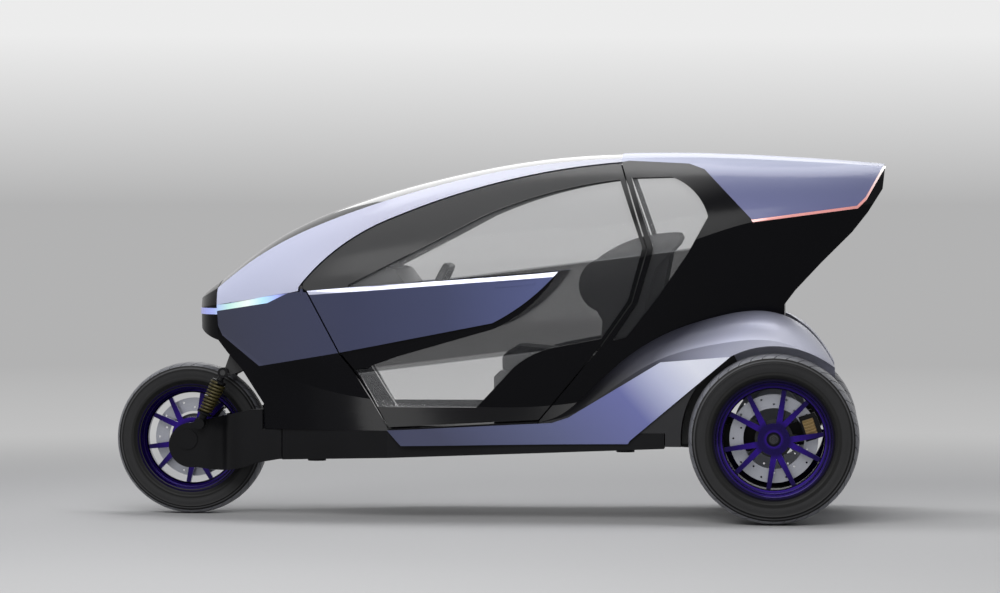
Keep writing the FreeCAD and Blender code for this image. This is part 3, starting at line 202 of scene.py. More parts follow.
def spanOn(tree, value, low, high, start=0.0, end=1.0, smooth=False):
    span = tree.nodes.new("ShaderNodeMapRange")
    if smooth:
        span.interpolation_type = "SMOOTHSTEP"
    for socket, number in (("From Min", low), ("From Max", high), ("To Min", start), ("To Max", end)):
        span.inputs[socket].default_value = number
    tree.links.new(value, span.inputs["Value"])
    return span.outputs["Result"]


def mixOn(tree, factor, first, second, blend="MIX"):
    # Factor, and each colour, is a socket or a plain value.
    mix = tree.nodes.new("ShaderNodeMix")
    mix.data_type = "RGBA"
    mix.blend_type = blend
    for socket, given in (("Factor", factor), ("A", first), ("B", second)):
        if isinstance(given, bpy.types.NodeSocket):
            tree.links.new(given, mix.inputs[socket])
        else:
            mix.inputs[socket].default_value = (*given, 1.0) if isinstance(given, tuple) else given
    return mix.outputs["Result"]


def mathOn(tree, operation, first, second):
    node = tree.nodes.new("ShaderNodeMath")
    node.operation = operation
    for i, given in enumerate((first, second)):
        if isinstance(given, bpy.types.NodeSocket):
            tree.links.new(given, node.inputs[i])
        else:
            node.inputs[i].default_value = given
    return node.outputs["Value"]


def vectorOn(tree, operation, coords, other=None):
    node = tree.nodes.new("ShaderNodeVectorMath")
    node.operation = operation
    tree.links.new(coords, node.inputs[0])
    if other is not None:
        node.inputs[1].default_value = other
    return node.outputs["Value" if operation in ("LENGTH", "DOT_PRODUCT") else "Vector"]


def alongWay(tree, coords, way, low, high, smooth=False):
    # Runs from 0 to 1 between two places along a direction of the car.
    return spanOn(tree, vectorOn(tree, "DOT_PRODUCT", coords, way), low, high, smooth=smooth)


def axleDistance(tree, coords, node):
    # Distance from the axle of a wheel's piece, and that piece's radius.
    low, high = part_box(node)
    offset = vectorOn(tree, "SUBTRACT", coords, (low + high) / 2)
    return vectorOn(tree, "LENGTH", vectorOn(tree, "MULTIPLY", offset, (1, 0, 1))), (high.z - low.z) / 2


def shade(colour, factor):
    return tuple(min(1.0, channel * factor) for channel in colour)


def driftOn(tree, noise, colour, darker, lighter, high=0.7):
    # The colour drifts between a darker and a lighter share of itself.
    return rampOn(tree, noise, [(0.3, shade(colour, darker)), (high, shade(colour, lighter))])


def dimmedOn(tree, colour, noise, darkest, low=0.3, high=0.7):
    # The colour, dimmed here and there to the darkest share.
    drift = rampOn(tree, noise, [(low, (darkest,) * 3), (high, (1.0, 1.0, 1.0))])
    return mixOn(tree, 1.0, colour, drift, "MULTIPLY")


def flakedOn(tree, coords, colour, darkest):
    flakes = noiseOn(tree, coords, flakeScale, detail=1.0)
    return dimmedOn(tree, colour, flakes, darkest, low=0.32, high=0.68)


def paintMaterial(name, finish, belt=None):
    # Two-coat paint whose colour runs along the car in a painted reflection, with a painted highlight
    # along the belt edge where one is given.
    material, tree, shader, coords = newMaterial(name, {
        "Metallic": finish["metallic"], "Roughness": finish["roughness"],
        "Coat Weight": paintCoat["weight"], "Coat Roughness": paintCoat["roughness"]})
    colour = rampOn(tree, alongWay(tree, coords, finish["way"], finish["from"], finish["to"]),
                    finish["stops"])
    if belt:
        # Painted highlight: a pale line along the belt edge.
        edge = alongWay(tree, coords, (-belt["rise"], 0, 1), belt["level"] - belt["soft"],
                        belt["level"] + belt["soft"])
        colour = mixOn(tree, edge, colour, belt["colour"])
    tree.links.new(flakedOn(tree, coords, colour, paintCoat["darkFlake"]), shader.inputs["Base Color"])
    peel = noiseOn(tree, coords, paintCoat["peelScale"], detail=1.0)
    tree.links.new(bumpOn(tree, peel, paintCoat["peel"], paintCoat["peelDepth"]), shader.inputs["Normal"])
    return material


def blackMaterial(name, finish):
    # Body black: deep and quiet, with a faint ripple.
    material, tree, shader, coords = newMaterial(name, {
        "Roughness": finish["roughness"], "Specular IOR Level": finish["specular"]})
    drift = noiseOn(tree, coords, blackCoat["drift"], detail=2.0)
    tree.links.new(driftOn(tree, drift, finish["colour"], blackCoat["darker"], blackCoat["lighter"]),
                   shader.inputs["Base Color"])
    ripple = noiseOn(tree, coords, blackCoat["rippleScale"], detail=1.0)
    tree.links.new(bumpOn(tree, ripple, blackCoat["ripple"], blackCoat["rippleDepth"]),
                   shader.inputs["Normal"])
    return material


def archMaterial(name, finish):
    # The arch round the side glass: black towards the belt and the tail, turning grey along the roof in a
    # painted highlight.
    material, tree, shader, coords = newMaterial(name, finish["sockets"])
    high = alongWay(tree, coords, finish["way"], finish["from"], finish["to"], smooth=True)
    paintedLightFade = rampOn(tree, high, [(0.0, finish["black"]), (1.0, finish["highlightGrey"])])
    drift = noiseOn(tree, coords, finish["drift"], detail=2.0)
    tree.links.new(dimmedOn(tree, paintedLightFade, drift, finish["darkest"]), shader.inputs["Base Color"])
    return material


def haunchMaterial(name, finish):
    # Black by the doors and low down, turning to silver lavender over the rear wheels: a painted
    # reflection.
    material, tree, shader, coords = newMaterial(name, finish["sockets"])
    back = alongWay(tree, coords, finish["backWay"], *finish["back"])
    high = alongWay(tree, coords, (0.0, 0.0, 1.0), *finish["high"], smooth=True)
    paintedLightFade = rampOn(tree, mathOn(tree, "MULTIPLY", back, high), finish["stops"])
    tree.links.new(flakedOn(tree, coords, paintedLightFade, finish["darkFlake"]), shader.inputs["Base Color"])
    return material


def rimMaterial(name, node):
    # Violet metal with painted light and shade: bright rings for lit steps and dark bands for shaded
    # grooves, recesses and the bore, out to the flange.
    material, tree, shader, coords = newMaterial(name, rimFinish["sockets"])
    share = mathOn(tree, "DIVIDE", *axleDistance(tree, coords, node))
    rings = rampOn(tree, share, [(place, rimFinish[tone]) for place, tone in rimFinish["rings"]])
    tree.links.new(flakedOn(tree, coords, rings, rimFinish["darkFlake"]), shader.inputs["Base Color"])
    steps = rampOn(tree, share, [(place, (height,) * 3) for place, height in rimFinish["steps"]])
    tree.links.new(bumpOn(tree, steps, rimFinish["stepBump"], rimFinish["stepDepth"]),
                   shader.inputs["Normal"])
    return material


def tyreMaterial(name, node):
    # Rubber: satin wall with painted light on it, a paler ring below the shoulder as a painted sheen and a
    # thin bright line beside it as a painted highlight; wear dims it here and there.
    material, tree, shader, coords = newMaterial(name, tyreFinish["sockets"])
    share = mathOn(tree, "DIVIDE", *axleDistance(tree, coords, node))
    colour = rampOn(tree, share, [(place, tyreFinish[tone]) for place, tone in tyreFinish["bands"]])
    wear = noiseOn(tree, coords, tyreFinish["wear"])
    tree.links.new(dimmedOn(tree, colour, wear, tyreFinish["worn"], high=0.72), shader.inputs["Base Color"])
    speckle = noiseOn(tree, coords, tyreFinish["grain"], detail=4.0)
    tree.links.new(spanOn(tree, speckle, 0.0, 1.0, *tyreFinish["roughness"]), shader.inputs["Roughness"])
    tree.links.new(bumpOn(tree, speckle, tyreFinish["bump"], grainDepth), shader.inputs["Normal"])
    return material


def mouldedMaterial(name, finish):
    # Plastics, rubber and cast metal: a grain in the bump and in the roughness.
    material, tree, shader, coords = newMaterial(name, {"Metallic": finish["metallic"]})
    speckle = noiseOn(tree, coords, finish["grain"], detail=4.0)
    wear = noiseOn(tree, coords, mouldedWear["scale"])
    tree.links.new(driftOn(tree, wear, finish["colour"], mouldedWear["darker"], mouldedWear["lighter"],
                           high=0.72), shader.inputs["Base Color"])
    smoothest = finish["roughness"] - mouldedWear["smoother"]
    roughest = finish["roughness"] + mouldedWear["rougher"]
    tree.links.new(spanOn(tree, speckle, 0.0, 1.0, smoothest, roughest), shader.inputs["Roughness"])
    tree.links.new(bumpOn(tree, speckle, finish["bump"], grainDepth), shader.inputs["Normal"])
    return material


def steelMaterial(name, finish):
    # Turned steel: fine rings round the axle.
    material, tree, shader, coords = newMaterial(name, {"Metallic": 1.0, "Roughness": finish["roughness"]})
    streak = tree.nodes.new("ShaderNodeMapping")
    streak.inputs["Scale"].default_value = turning["stretch"]
    tree.links.new(coords, streak.inputs["Vector"])
    rings = noiseOn(tree, streak.outputs["Vector"], turning["scale"], detail=2.0)
    tree.links.new(driftOn(tree, rings, finish["colour"], turning["darker"], turning["lighter"]),
                   shader.inputs["Base Color"])
    tree.links.new(bumpOn(tree, rings, turning["bump"], turning["depth"]), shader.inputs["Normal"])
    return material


def screenMaterial(name, finish):
    material, tree, shader, coords = newMaterial(name, finish["sockets"])
    dust = noiseOn(tree, coords, **glassDust)
    tree.links.new(driftOn(tree, dust, finish["tint"], finish["dusty"], 1.0), shader.inputs["Base Color"])
    return material


def sideGlassMaterial(name, band):
    # Clear above the belt line and along the sill, smoked between.
    material, tree, shader, coords = newMaterial(name, band["sockets"])
    way = (-band["rise"], 0.0, 1.0)
    below = alongWay(tree, coords, way, band["top"] + band["soft"], band["top"] - band["soft"])
    above = alongWay(tree, coords, way, band["bottom"] - band["soft"], band["bottom"] + band["soft"])
    smoked = mathOn(tree, "MULTIPLY", below, above)
    tree.links.new(spanOn(tree, smoked, 0.0, 1.0, band["clear"], band["smoked"]), shader.inputs["Alpha"])
    # The clear parts take a faint pale colour: a painted sky reflection.
    colour = mixOn(tree, smoked, band["paintedSkyReflection"], band["tint"])
    dust = noiseOn(tree, coords, **glassDust)
    tree.links.new(dimmedOn(tree, colour, dust, band["dusty"]), shader.inputs["Base Color"])
    return material


def lampMaterial(name, finish):
    # A lit strip whose colour runs along the car.
    material, tree, shader, coords = newMaterial(name, {
        "Emission Strength": finish["strength"], **lampSockets})
    colour = rampOn(tree, alongWay(tree, coords, (1, 0, 0), finish["from"], finish["to"]), finish["stops"])
    tree.links.new(colour, shader.inputs["Base Color"])
    tree.links.new(colour, shader.inputs["Emission Color"])
    return material


def fabricMaterial(name, finish):
    material, tree, shader, coords = newMaterial(name, finish["sockets"])
    weave = tree.nodes.new("ShaderNodeTexWave")
    weave.inputs["Scale"].default_value = finish["threads"]
    weave.inputs["Distortion"].default_value = finish["distortion"]
    weave.inputs["Detail"].default_value = finish["detail"]
    tree.links.new(coords, weave.inputs["Vector"])
    wear = noiseOn(tree, coords, finish["wear"])
    tree.links.new(driftOn(tree, wear, finish["colour"], finish["darker"], finish["lighter"]),
                   shader.inputs["Base Color"])
    tree.links.new(bumpOn(tree, weave.outputs["Fac"], finish["bump"], finish["bumpDepth"]),
                   shader.inputs["Normal"])
    return material


def discMaterial(name, node):
    # Bright braking ring on black spokes, told apart by the distance from the axle.
    material, tree, shader, coords = newMaterial(name, discFinish["sockets"])
    far, radius = axleDistance(tree, coords, node)
    edge = radius - discFinish["ring"]
    ring = spanOn(tree, far, edge - discFinish["soft"], edge + discFinish["soft"])
    turned = tree.nodes.new("ShaderNodeTexNoise")
    turned.noise_dimensions = "1D"
    turned.inputs["Scale"].default_value = discFinish["turning"]
    tree.links.new(far, turned.inputs["W"])
    steel = rampOn(tree, turned.outputs["Fac"], discFinish["steel"])
    tree.links.new(mixOn(tree, ring, discFinish["spokes"], steel), shader.inputs["Base Color"])
    tree.links.new(mathOn(tree, "MULTIPLY", ring, discFinish["metallic"]), shader.inputs["Metallic"])
    return material


materials = {
    "doorBlue": paintMaterial("doorBlue", paintFinishes["slateBlue"], belt=beltHighlight),
    "archFade": archMaterial("archFade", archFinish),
    "haunchFade": haunchMaterial("haunchFade", haunchFinish),
    "screenGlass": screenMaterial("screenGlass", screenFinish),
    "sideGlass": sideGlassMaterial("sideGlass", sideGlassFinish),
    "seatFabric": fabricMaterial("seatFabric", fabricFinish),
}
for finishes, makeMaterial in ((paintFinishes, paintMaterial), (blackFinishes, blackMaterial),
                               (mouldedFinishes, mouldedMaterial), (steelFinishes, steelMaterial),
                               (lampFinishes, lampMaterial)):
    for name, finish in finishes.items():
        materials[name] = makeMaterial(name, finish)
for wheel in ("front", "rear_left", "rear_right"):
    materials[f"disc_{wheel}"] = discMaterial(f"disc_{wheel}", f"brake_disc_{wheel}")
    materials[f"rim_{wheel}"] = rimMaterial(f"rim_{wheel}", f"rim_{wheel}")
    materials[f"tyre_{wheel}"] = tyreMaterial(f"tyre_{wheel}", f"tyre_{wheel}")

nodeFinishes = {
    "pearlLavender": ["cant_rails"],
    "deckLavender": ["tail_deck"],
    "skirtLavender": ["side_skirt_left", "side_skirt_right"],
    "slateBlue": ["front_wings"],
    "doorBlue": ["door_blade_left", "door_blade_right"],
    "screenGlass": ["windscreen"],
    "sideGlass": ["quarter_glass", "door_glass_left", "door_glass_right"],
    "headLamp": ["headlamp_strip"],
    "tailLamp": ["tail_lamp_strip"],
    "glossBlack": ["nose_cap", "lower_cowl", "tail_panel"],
    "archFade": ["rear_quarter_left", "rear_quarter_right", "door_frame_left", "door_frame_right"],
    "haunchFade": ["haunch_left", "haunch_right"],
    "blackPlastic": ["floor_pan", "front_bulkhead", "dashboard", "seat_shell", "steering_wheel"],
    "satinBlack": ["front_arms", "rear_subframe", "hub_carrier", "chassis_tray"],
    "castAlloy": ["battery_pack", "drive_unit"],
    "boltSteel": ["front_axle"],
    "disc_front": ["brake_disc_front"],
    "disc_rear_left": ["brake_disc_rear_left"],
    "disc_rear_right": ["brake_disc_rear_right"],
    "rim_front": ["rim_front"],
    "rim_rear_left": ["rim_rear_left"],
    "rim_rear_right": ["rim_rear_right"],
}
for finish, names in nodeFinishes.items():
    for name in names:
        for slot in nodes[name].material_slots:
            slot.material = materials[finish]
print("materials:", len(materials))

mergeGap = 0.00001  # points nearer than this are one


def addPiece(name, mesh, finish, body, smooth=None):
    # smooth is the angle, in degrees, under which faces are shaded as one.
    piece = bpy.data.objects.new(name, mesh)
    scene.collection.objects.link(piece)
    mesh.materials.clear()
    mesh.materials.append(materials[finish])
    if smooth is not None:
        for polygon in mesh.polygons:
            polygon.use_smooth = True
        mesh.set_sharp_from_angle(angle=math.radians(smooth))
    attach(piece, body)
    return piece


def meshFrom(name, form):
    mesh = bpy.data.meshes.new(name)
    form.to_mesh(mesh)
    form.free()
    return mesh


def sideName(side):
    return "left" if side < 0 else "right"


def spinOutline(form, points, centre, axis, steps):
    # Turns an outline once round an axis through the centre.
    verts = [form.verts.new(point) for point in points]
    edges = [form.edges.new(pair) for pair in zip(verts, verts[1:])]
    bmesh.ops.spin(form, geom=verts + edges, cent=centre, axis=axis, angle=math.tau, steps=steps,
                   use_merge=True)


def movedVerts(geometry):
    return [item for item in geometry if isinstance(item, bmesh.types.BMVert)]


wheels = {
    "front": {"body": "front_wheel", "grooves": 40},
    "rear_left": {"body": "rear_wheel_left", "grooves": 42},
    "rear_right": {"body": "rear_wheel_right", "grooves": 42},
}
tyreShape = {
    "steps": 160, "rows": 22, "columns": 8, "treadDepth": 0.005, "grooveWidth": 0.0042, "sweep": 0.75,
    "grooveFrom": 0.10, "radiusClear": 0.0008, "widthClear": 0.0006, "beadDepth": 0.0155, "beadPlace": 0.80,
    # Wall and tread: share of the height above the rim, and share of the half width.
    "wall": [(-0.001, 0.86), (0.05, 0.915), (0.12, 0.955), (0.15, 0.972), (0.19, 0.960), (0.34, 0.985),
             (0.50, 0.998), (0.60, 0.990), (0.635, 1.000), (0.665, 0.975), (0.74, 0.945)],
    "tread": [(0.83, 0.89), (0.89, 0.82), (0.93, 0.73), (0.965, 0.58), (0.985, 0.40), (0.996, 0.20)],
}


def wheelCentre(name):
    # Centre, radius and width of a tyre.
    low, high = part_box(f"tyre_{name}")
    return (low + high) / 2, (high.z - low.z) / 2, high.y - low.y


def tyreProfile(radius, rimRadius, width):
    # From the outer bead round the tread to the inner bead: distance from the axle, place along it.
    half = width / 2
    rise = radius - rimRadius
    outer = [(rimRadius - tyreShape["beadDepth"], tyreShape["beadPlace"])]
    outer += [(rimRadius + share * rise, place) for share, place in tyreShape["wall"] + tyreShape["tread"]]
    return ([(r, -place * half) for r, place in outer] + [(radius, 0.0)]
            + [(r, place * half) for r, place in reversed(outer)])


def treadForm(tread, centre, shape, grooves):
    # Rubber between thin curved grooves, which sweep in from each shoulder in turn.
    form = bmesh.new()
    columns = shape["columns"]
    half = columns // 2
    bmesh.ops.create_grid(form, x_segments=grooves * columns, y_segments=shape["rows"], size=0.5)
    lengths = [0.0]
    for (r0, a0), (r1, a1) in zip(tread, tread[1:]):
        lengths.append(lengths[-1] + math.hypot(r1 - r0, a1 - a0))
    radius = max(r for r, _ in tread)
    narrow = shape["grooveWidth"] / (math.tau * radius / grooves)

    def surfaceAt(share):
        want = share * lengths[-1]
        for i in range(len(lengths) - 1):
            if want <= lengths[i + 1] or i == len(lengths) - 2:
                part = (want - lengths[i]) / (lengths[i + 1] - lengths[i])
                return tuple(tread[i][k] + part * (tread[i + 1][k] - tread[i][k]) for k in (0, 1))

    def columnPlace(number):
        # The first column of each half pitch is a groove, and the others share what is left.
        pitch, column = divmod(number, columns)
        wide = (0.5 - narrow) / (half - 1)
        return (pitch + (0.5 if column >= half else 0.0)
                + (narrow + (column % half - 1) * wide if column % half else 0.0)) / grooves

    removed = []
    for face in form.faces:
        middle = face.calc_center_median()
        column = int((middle.x + 0.5) * grooves * columns) % columns
        lean = middle.y * 2
        if (column == 0 and lean < -shape["grooveFrom"]) or (column == half and lean > shape["grooveFrom"]):
            removed.append(face)
    bmesh.ops.delete(form, geom=removed, context="FACES")
    for vert in form.verts:
        distance, along = surfaceAt(vert.co.y + 0.5)
        lean = vert.co.y * 2
        number = round((vert.co.x + 0.5) * grooves * columns)
        sweep = shape["sweep"] * (1 - lean * lean) / grooves
        turn = (columnPlace(number) + sweep) * math.tau
        vert.co = Vector((centre[0] + distance * math.sin(turn), centre[1] + along,
                          centre[2] + distance * math.cos(turn)))
    bmesh.ops.remove_doubles(form, verts=form.verts, dist=2 * mergeGap)
    bmesh.ops.recalc_face_normals(form, faces=form.faces)
    bmesh.ops.solidify(form, geom=form.faces[:], thickness=shape["treadDepth"])
    bmesh.ops.recalc_face_normals(form, faces=form.faces)
    return form


def buildTyre(name):
    centre, radius, width = wheelCentre(name)
    rimLow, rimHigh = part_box(f"rim_{name}")
    profile = tyreProfile(radius - tyreShape["radiusClear"], (rimHigh.z - rimLow.z) / 2,
                          width - tyreShape["widthClear"])
    first, last = len(tyreShape["wall"]) + 1, len(profile) - len(tyreShape["wall"]) - 1
    # Under the tread the casing lies deeper, at the bottom of the grooves.
    casing = [(r - tyreShape["treadDepth"] if first < i < last - 1 else r, along)
              for i, (r, along) in enumerate(profile)]
    form = bmesh.new()
    spinOutline(form, [(centre[0], centre[1] + along, centre[2] + r) for r, along in casing], centre,
                (0, 1, 0), tyreShape["steps"])
    bmesh.ops.remove_doubles(form, verts=form.verts, dist=mergeGap)
    bmesh.ops.recalc_face_normals(form, faces=form.faces)
    body = wheels[name]["body"]
    tyre = addPiece(f"tyre_{name}_casing", meshFrom(f"tyre_{name}_casing", form), f"tyre_{name}",
                    body, smooth=50)
    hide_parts(f"tyre_{name}")
    form = treadForm(profile[first:last], centre, tyreShape, wheels[name]["grooves"])
    addPiece(f"tyre_{name}_tread", meshFrom(f"tyre_{name}_tread", form), "treadRubber", body,
             smooth=35)


for wheelName in wheels:
    buildTyre(wheelName)
print("tyres done")

spring = {"footRadius": 0.0215, "topRadius": 0.0285, "wire": 0.0057, "wireSides": 10, "turns": 9.5,
          "stepsPerTurn": 22, "fromFoot": 0.052, "fromHead": 0.046, "eyeRadius": 0.021, "eyeInside": 0.034}
# The damper's outline: radius and distance from the lower eye, then radius and share of the length, then
# radius and distance from the upper eye.
damper = {
    "foot": [(0.0, 0.014), (0.013, 0.014), (0.016, 0.026), (0.016, 0.040), (0.031, 0.044), (0.031, 0.050),
             (0.0175, 0.052)],
    "tube": [(0.0175, 0.55), (0.008, 0.56)],
    "head": [(0.008, 0.050), (0.029, 0.046), (0.029, 0.038), (0.014, 0.034), (0.012, 0.014), (0.0, 0.014)],
    "steps": 32, "eyeRadius": 0.0205, "eyeHalf": 0.020, "eyeSteps": 28, "lowerBore": 0.0,
    "upperBore": 0.0115,
}


def springLine(side):
    # Eyes of one spring, read from its CAD solid: low on the arm, high on the bulkhead pin.
    low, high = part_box("front_springs")
    y = side * (high.y - spring["eyeInside"])
    eye = spring["eyeRadius"]
    return Vector((low.x + eye, y, low.z + eye)), Vector((high.x - eye, y, high.z - eye))


def buildCoil(name, place, length):
    coilFrom, coilTo = spring["fromFoot"], length - spring["fromHead"]
    steps = int(spring["turns"] * spring["stepsPerTurn"])
    form = bmesh.new()
    ring = bmesh.ops.create_circle(form, cap_ends=True, segments=spring["wireSides"],
                                   radius=spring["wire"])["verts"]
    bmesh.ops.rotate(form, verts=ring, cent=(0, 0, 0), matrix=Matrix.Rotation(math.radians(90), 3, "X"))
    bmesh.ops.translate(form, verts=ring, vec=(spring["footRadius"], 0, coilFrom))
    bmesh.ops.spin(form, geom=form.faces[:], cent=(0, 0, 0), axis=(0, 0, 1),
                   dvec=(0, 0, (coilTo - coilFrom) / steps), angle=math.tau * spring["turns"], steps=steps,
                   use_duplicate=False)
    # The coil widens towards its top.
    for vert in form.verts:
        share = (vert.co.z - coilFrom) / (coilTo - coilFrom)
        flat = Vector((vert.co.x, vert.co.y, 0))
        vert.co += flat.normalized() * share * (spring["topRadius"] - spring["footRadius"])
    bmesh.ops.recalc_face_normals(form, faces=form.faces)
    bmesh.ops.transform(form, matrix=place, verts=form.verts)
    addPiece(name, meshFrom(name, form), "oliveSpring", "root", smooth=60)


def buildDamper(name, place, foot, head):
    # Stepped body with seats for the coil, and an eye at each end.
    length = (head - foot).length
    outline = damper["foot"] + [(r, share * length) for r, share in damper["tube"]]
    outline += [(r, length - depth) for r, depth in damper["head"]]
    form = bmesh.new()
    spinOutline(form, [(r, 0, z) for r, z in outline], (0, 0, 0), (0, 0, 1), damper["steps"])
    bmesh.ops.remove_doubles(form, verts=form.verts, dist=mergeGap)
    bmesh.ops.transform(form, matrix=place, verts=form.verts)
    outer, half = damper["eyeRadius"], damper["eyeHalf"]
    for centre, bore in ((foot, damper["lowerBore"]), (head, damper["upperBore"])):
        eye = [(outer, -half), (outer, half), (bore, half), (bore, -half), (outer, -half)]
        spinOutline(form, [centre + Vector((r, along, 0)) for r, along in eye], centre, (0, 1, 0),
                    damper["eyeSteps"])
    bmesh.ops.remove_doubles(form, verts=form.verts, dist=mergeGap)
    bmesh.ops.recalc_face_normals(form, faces=form.faces)
    return addPiece(name, meshFrom(name, form), "satinBlack", "root", smooth=40)


def buildSpring(side):
    foot, head = springLine(side)
    way = head - foot
    place = Matrix.Translation(foot) @ way.to_track_quat("Z", "Y").to_matrix().to_4x4()
    buildCoil(f"spring_{sideName(side)}_coil", place, way.length)
    return buildDamper(f"spring_{sideName(side)}_damper", place, foot, head)


dampers = [buildSpring(side) for side in (-1, 1)]
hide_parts("front_springs")
print("springs done")

brake = {"turn": 18.0, "reach": 0.146, "length": 0.066, "height": 0.044, "fins": 6, "finDepth": 0.0075,
         "finTop": (0.92, 0.62, 1.0), "proud": 0.0012, "faceDepth": 0.101}
nut = {"across": 0.0155, "depth": 0.007, "taper": 0.93, "washer": 0.019, "washerDepth": 0.002,
       "stub": (0.008, 0.0065), "stubLength": 0.006, "stubRise": 0.002, "faceDepth": 0.064}
arch = {"wall": 0.0035, "clear": 0.0055, "inner": 0.268, "outer": 0.3585, "from": 116.0, "to": 184.5,
        "steps": 40}


def rearWheel(side):
    # Centre of a rear wheel, the distance of its outer face from the car's middle, and its width.
    centre, _, width = wheelCentre(f"rear_{sideName(side)}")
    return centre, abs(centre.y) + width / 2, width


def setOnWheel(form, side, faceDepth, turned):
    # From a plan lying flat to the wheel's plane, facing out, and mirrored for the right side.
    centre, outer, _ = rearWheel(side)
    out = Matrix.Rotation(math.radians(90), 4, "X")
    place = Matrix.Translation((centre.x, faceDepth - outer, centre.z))
    bmesh.ops.transform(form, matrix=place @ turned @ out, verts=form.verts)
    if side > 0:
        bmesh.ops.scale(form, vec=(1, -1, 1), verts=form.verts)
    bmesh.ops.recalc_face_normals(form, faces=form.faces)


def buildCaliperCover(side):
    # A ribbed cover on the caliper's outer face, square to the wheel's radius.
    form = bmesh.new()
    bmesh.ops.create_grid(form, x_segments=1, y_segments=2 * brake["fins"] - 1, size=0.5)
    bmesh.ops.scale(form, vec=(brake["height"], brake["length"], 1), verts=form.verts)
    ribs = sorted(form.faces, key=lambda face: face.calc_center_median().y)[::2]
    for face in form.faces:
        face.material_index = 0 if face in ribs else 1
    for rib in ribs:
        raised = bmesh.ops.extrude_discrete_faces(form, faces=[rib])["faces"][0]
        middle = raised.calc_center_median()
        bmesh.ops.scale(form, vec=brake["finTop"], verts=raised.verts, space=Matrix.Translation(-middle))
        bmesh.ops.translate(form, verts=raised.verts, vec=(0, 0, brake["finDepth"]))
    bmesh.ops.remove_doubles(form, verts=form.verts, dist=mergeGap)
    rim = bmesh.ops.extrude_edge_only(form, edges=[e for e in form.edges if e.is_boundary])["geom"]
    bmesh.ops.translate(form, verts=movedVerts(rim), vec=(0, 0, -brake["proud"]))
    back = bmesh.ops.edgeloop_fill(form, edges=[e for e in form.edges if e.is_boundary])["faces"]
    for face in back:
        face.material_index = 1
    turn = Matrix.Rotation(-math.radians(brake["turn"]), 4, "Y")
    reach = Matrix.Translation((brake["reach"], 0, 0))
    setOnWheel(form, side, brake["faceDepth"] - brake["proud"], turn @ reach)
    name = f"caliper_cover_{sideName(side)}"
    cover = addPiece(name, meshFrom(name, form), "brassCaliper", "root", smooth=30)
    cover.data.materials.append(materials["satinBlack"])


def buildAxleNut(side):
    # Hexagon nut on a washer, at the end of the stub axle.
    form = bmesh.new()
    nutFrom = nut["washerDepth"]
    stubMiddle = nutFrom + nut["depth"] + nut["stubRise"]
    cones = [
        (32, nut["washer"], nut["washer"], nut["washerDepth"], nut["washerDepth"] / 2),
        (6, nut["across"], nut["across"] * nut["taper"], nut["depth"], nutFrom + nut["depth"] / 2),
        (24, *nut["stub"], nut["stubLength"], stubMiddle),
    ]
    for segments, radius, topRadius, depth, middle in cones:
        made = bmesh.ops.create_cone(form, cap_ends=True, segments=segments, radius1=radius,
                                     radius2=topRadius, depth=depth)["verts"]
        bmesh.ops.translate(form, verts=made, vec=(0, 0, middle))
    setOnWheel(form, side, nut["faceDepth"], Matrix())
    name = f"axle_nut_{sideName(side)}"
    addPiece(name, meshFrom(name, form), "nutSteel", "root", smooth=30)


def buildArchWall(side):
    # Inner wall that closes the wheel arch ahead of the tyre, beside the suspension arm.
    centre, outer, width = rearWheel(side)
    first = math.radians(arch["from"])
    form = bmesh.new()
    line = [form.verts.new((radius * math.cos(first), 0, radius * math.sin(first)))
            for radius in (arch["inner"], arch["outer"])]
    edge = form.edges.new(line)
    bmesh.ops.spin(form, geom=line + [edge], cent=(0, 0, 0), axis=(0, 1, 0),
                   angle=-math.radians(arch["to"] - arch["from"]), steps=arch["steps"])
    inner = outer - width - arch["clear"]
    bmesh.ops.translate(form, verts=form.verts, vec=(centre.x, side * inner, centre.z))
    wall = bmesh.ops.extrude_face_region(form, geom=form.faces[:])["geom"]
    bmesh.ops.translate(form, verts=movedVerts(wall), vec=(0, -side * arch["wall"], 0))
    bmesh.ops.recalc_face_normals(form, faces=form.faces)
    name = f"arch_wall_{sideName(side)}"
    addPiece(name, meshFrom(name, form), "blackPlastic", "root", smooth=40)


for wheelSide in (-1, 1):
    buildCaliperCover(wheelSide)
    buildAxleNut(wheelSide)
    buildArchWall(wheelSide)
print("caliper covers, nuts and arch walls done")

seat = {"pads": ("seat_cushion", "seat_back"), "merge": 0.0001, "flat": 2.0, "start": 0.975, "bevel": 0.014,
        "bevelSteps": 3, "voxel": 0.006, "pressure": 4.0, "frames": 20, "cap": 0.024,
        "channels": (-0.075, 0.0, 0.075), "channelWidth": 0.009, "channelDepth": 0.006, "sideways": 0.6}


def looseParts(form):
    # Groups of faces that hang together.
    left, groups = set(form.faces), []
    while left:
        group, edge = set(), [left.pop()]
        while edge:
            face = edge.pop()
            group.add(face)
            for corner in face.verts:
                for other in corner.link_faces:
                    if other in left:
                        left.discard(other)
                        edge.append(other)
        groups.append(group)
    return groups


def appliedMesh(piece):
    return bpy.data.meshes.new_from_object(piece.evaluated_get(bpy.context.evaluated_depsgraph_get()))


def swell(piece):
    # Cloth blown up by pressure, each point held to a short way from where it started.
    cloth = piece.modifiers.new("swell", "CLOTH")
    cloth.settings.use_pressure = True
    cloth.settings.uniform_pressure_force = seat["pressure"]
    cloth.settings.effector_weights.gravity = 0
    cloth.point_cache.frame_start, cloth.point_cache.frame_end = 1, seat["frames"]
    start = [vert.co.copy() for vert in piece.data.vertices]
    for number in range(1, seat["frames"] + 1):
        scene.frame_set(number)
    blown = [vert.co.copy() for vert in appliedMesh(piece).vertices]
    piece.modifiers.remove(cloth)
    scene.frame_set(1)
    for vert, old, new in zip(piece.data.vertices, start, blown):
        way = new - old
        vert.co = old + way * min(1.0, seat["cap"] / max(way.length, 1e-9))


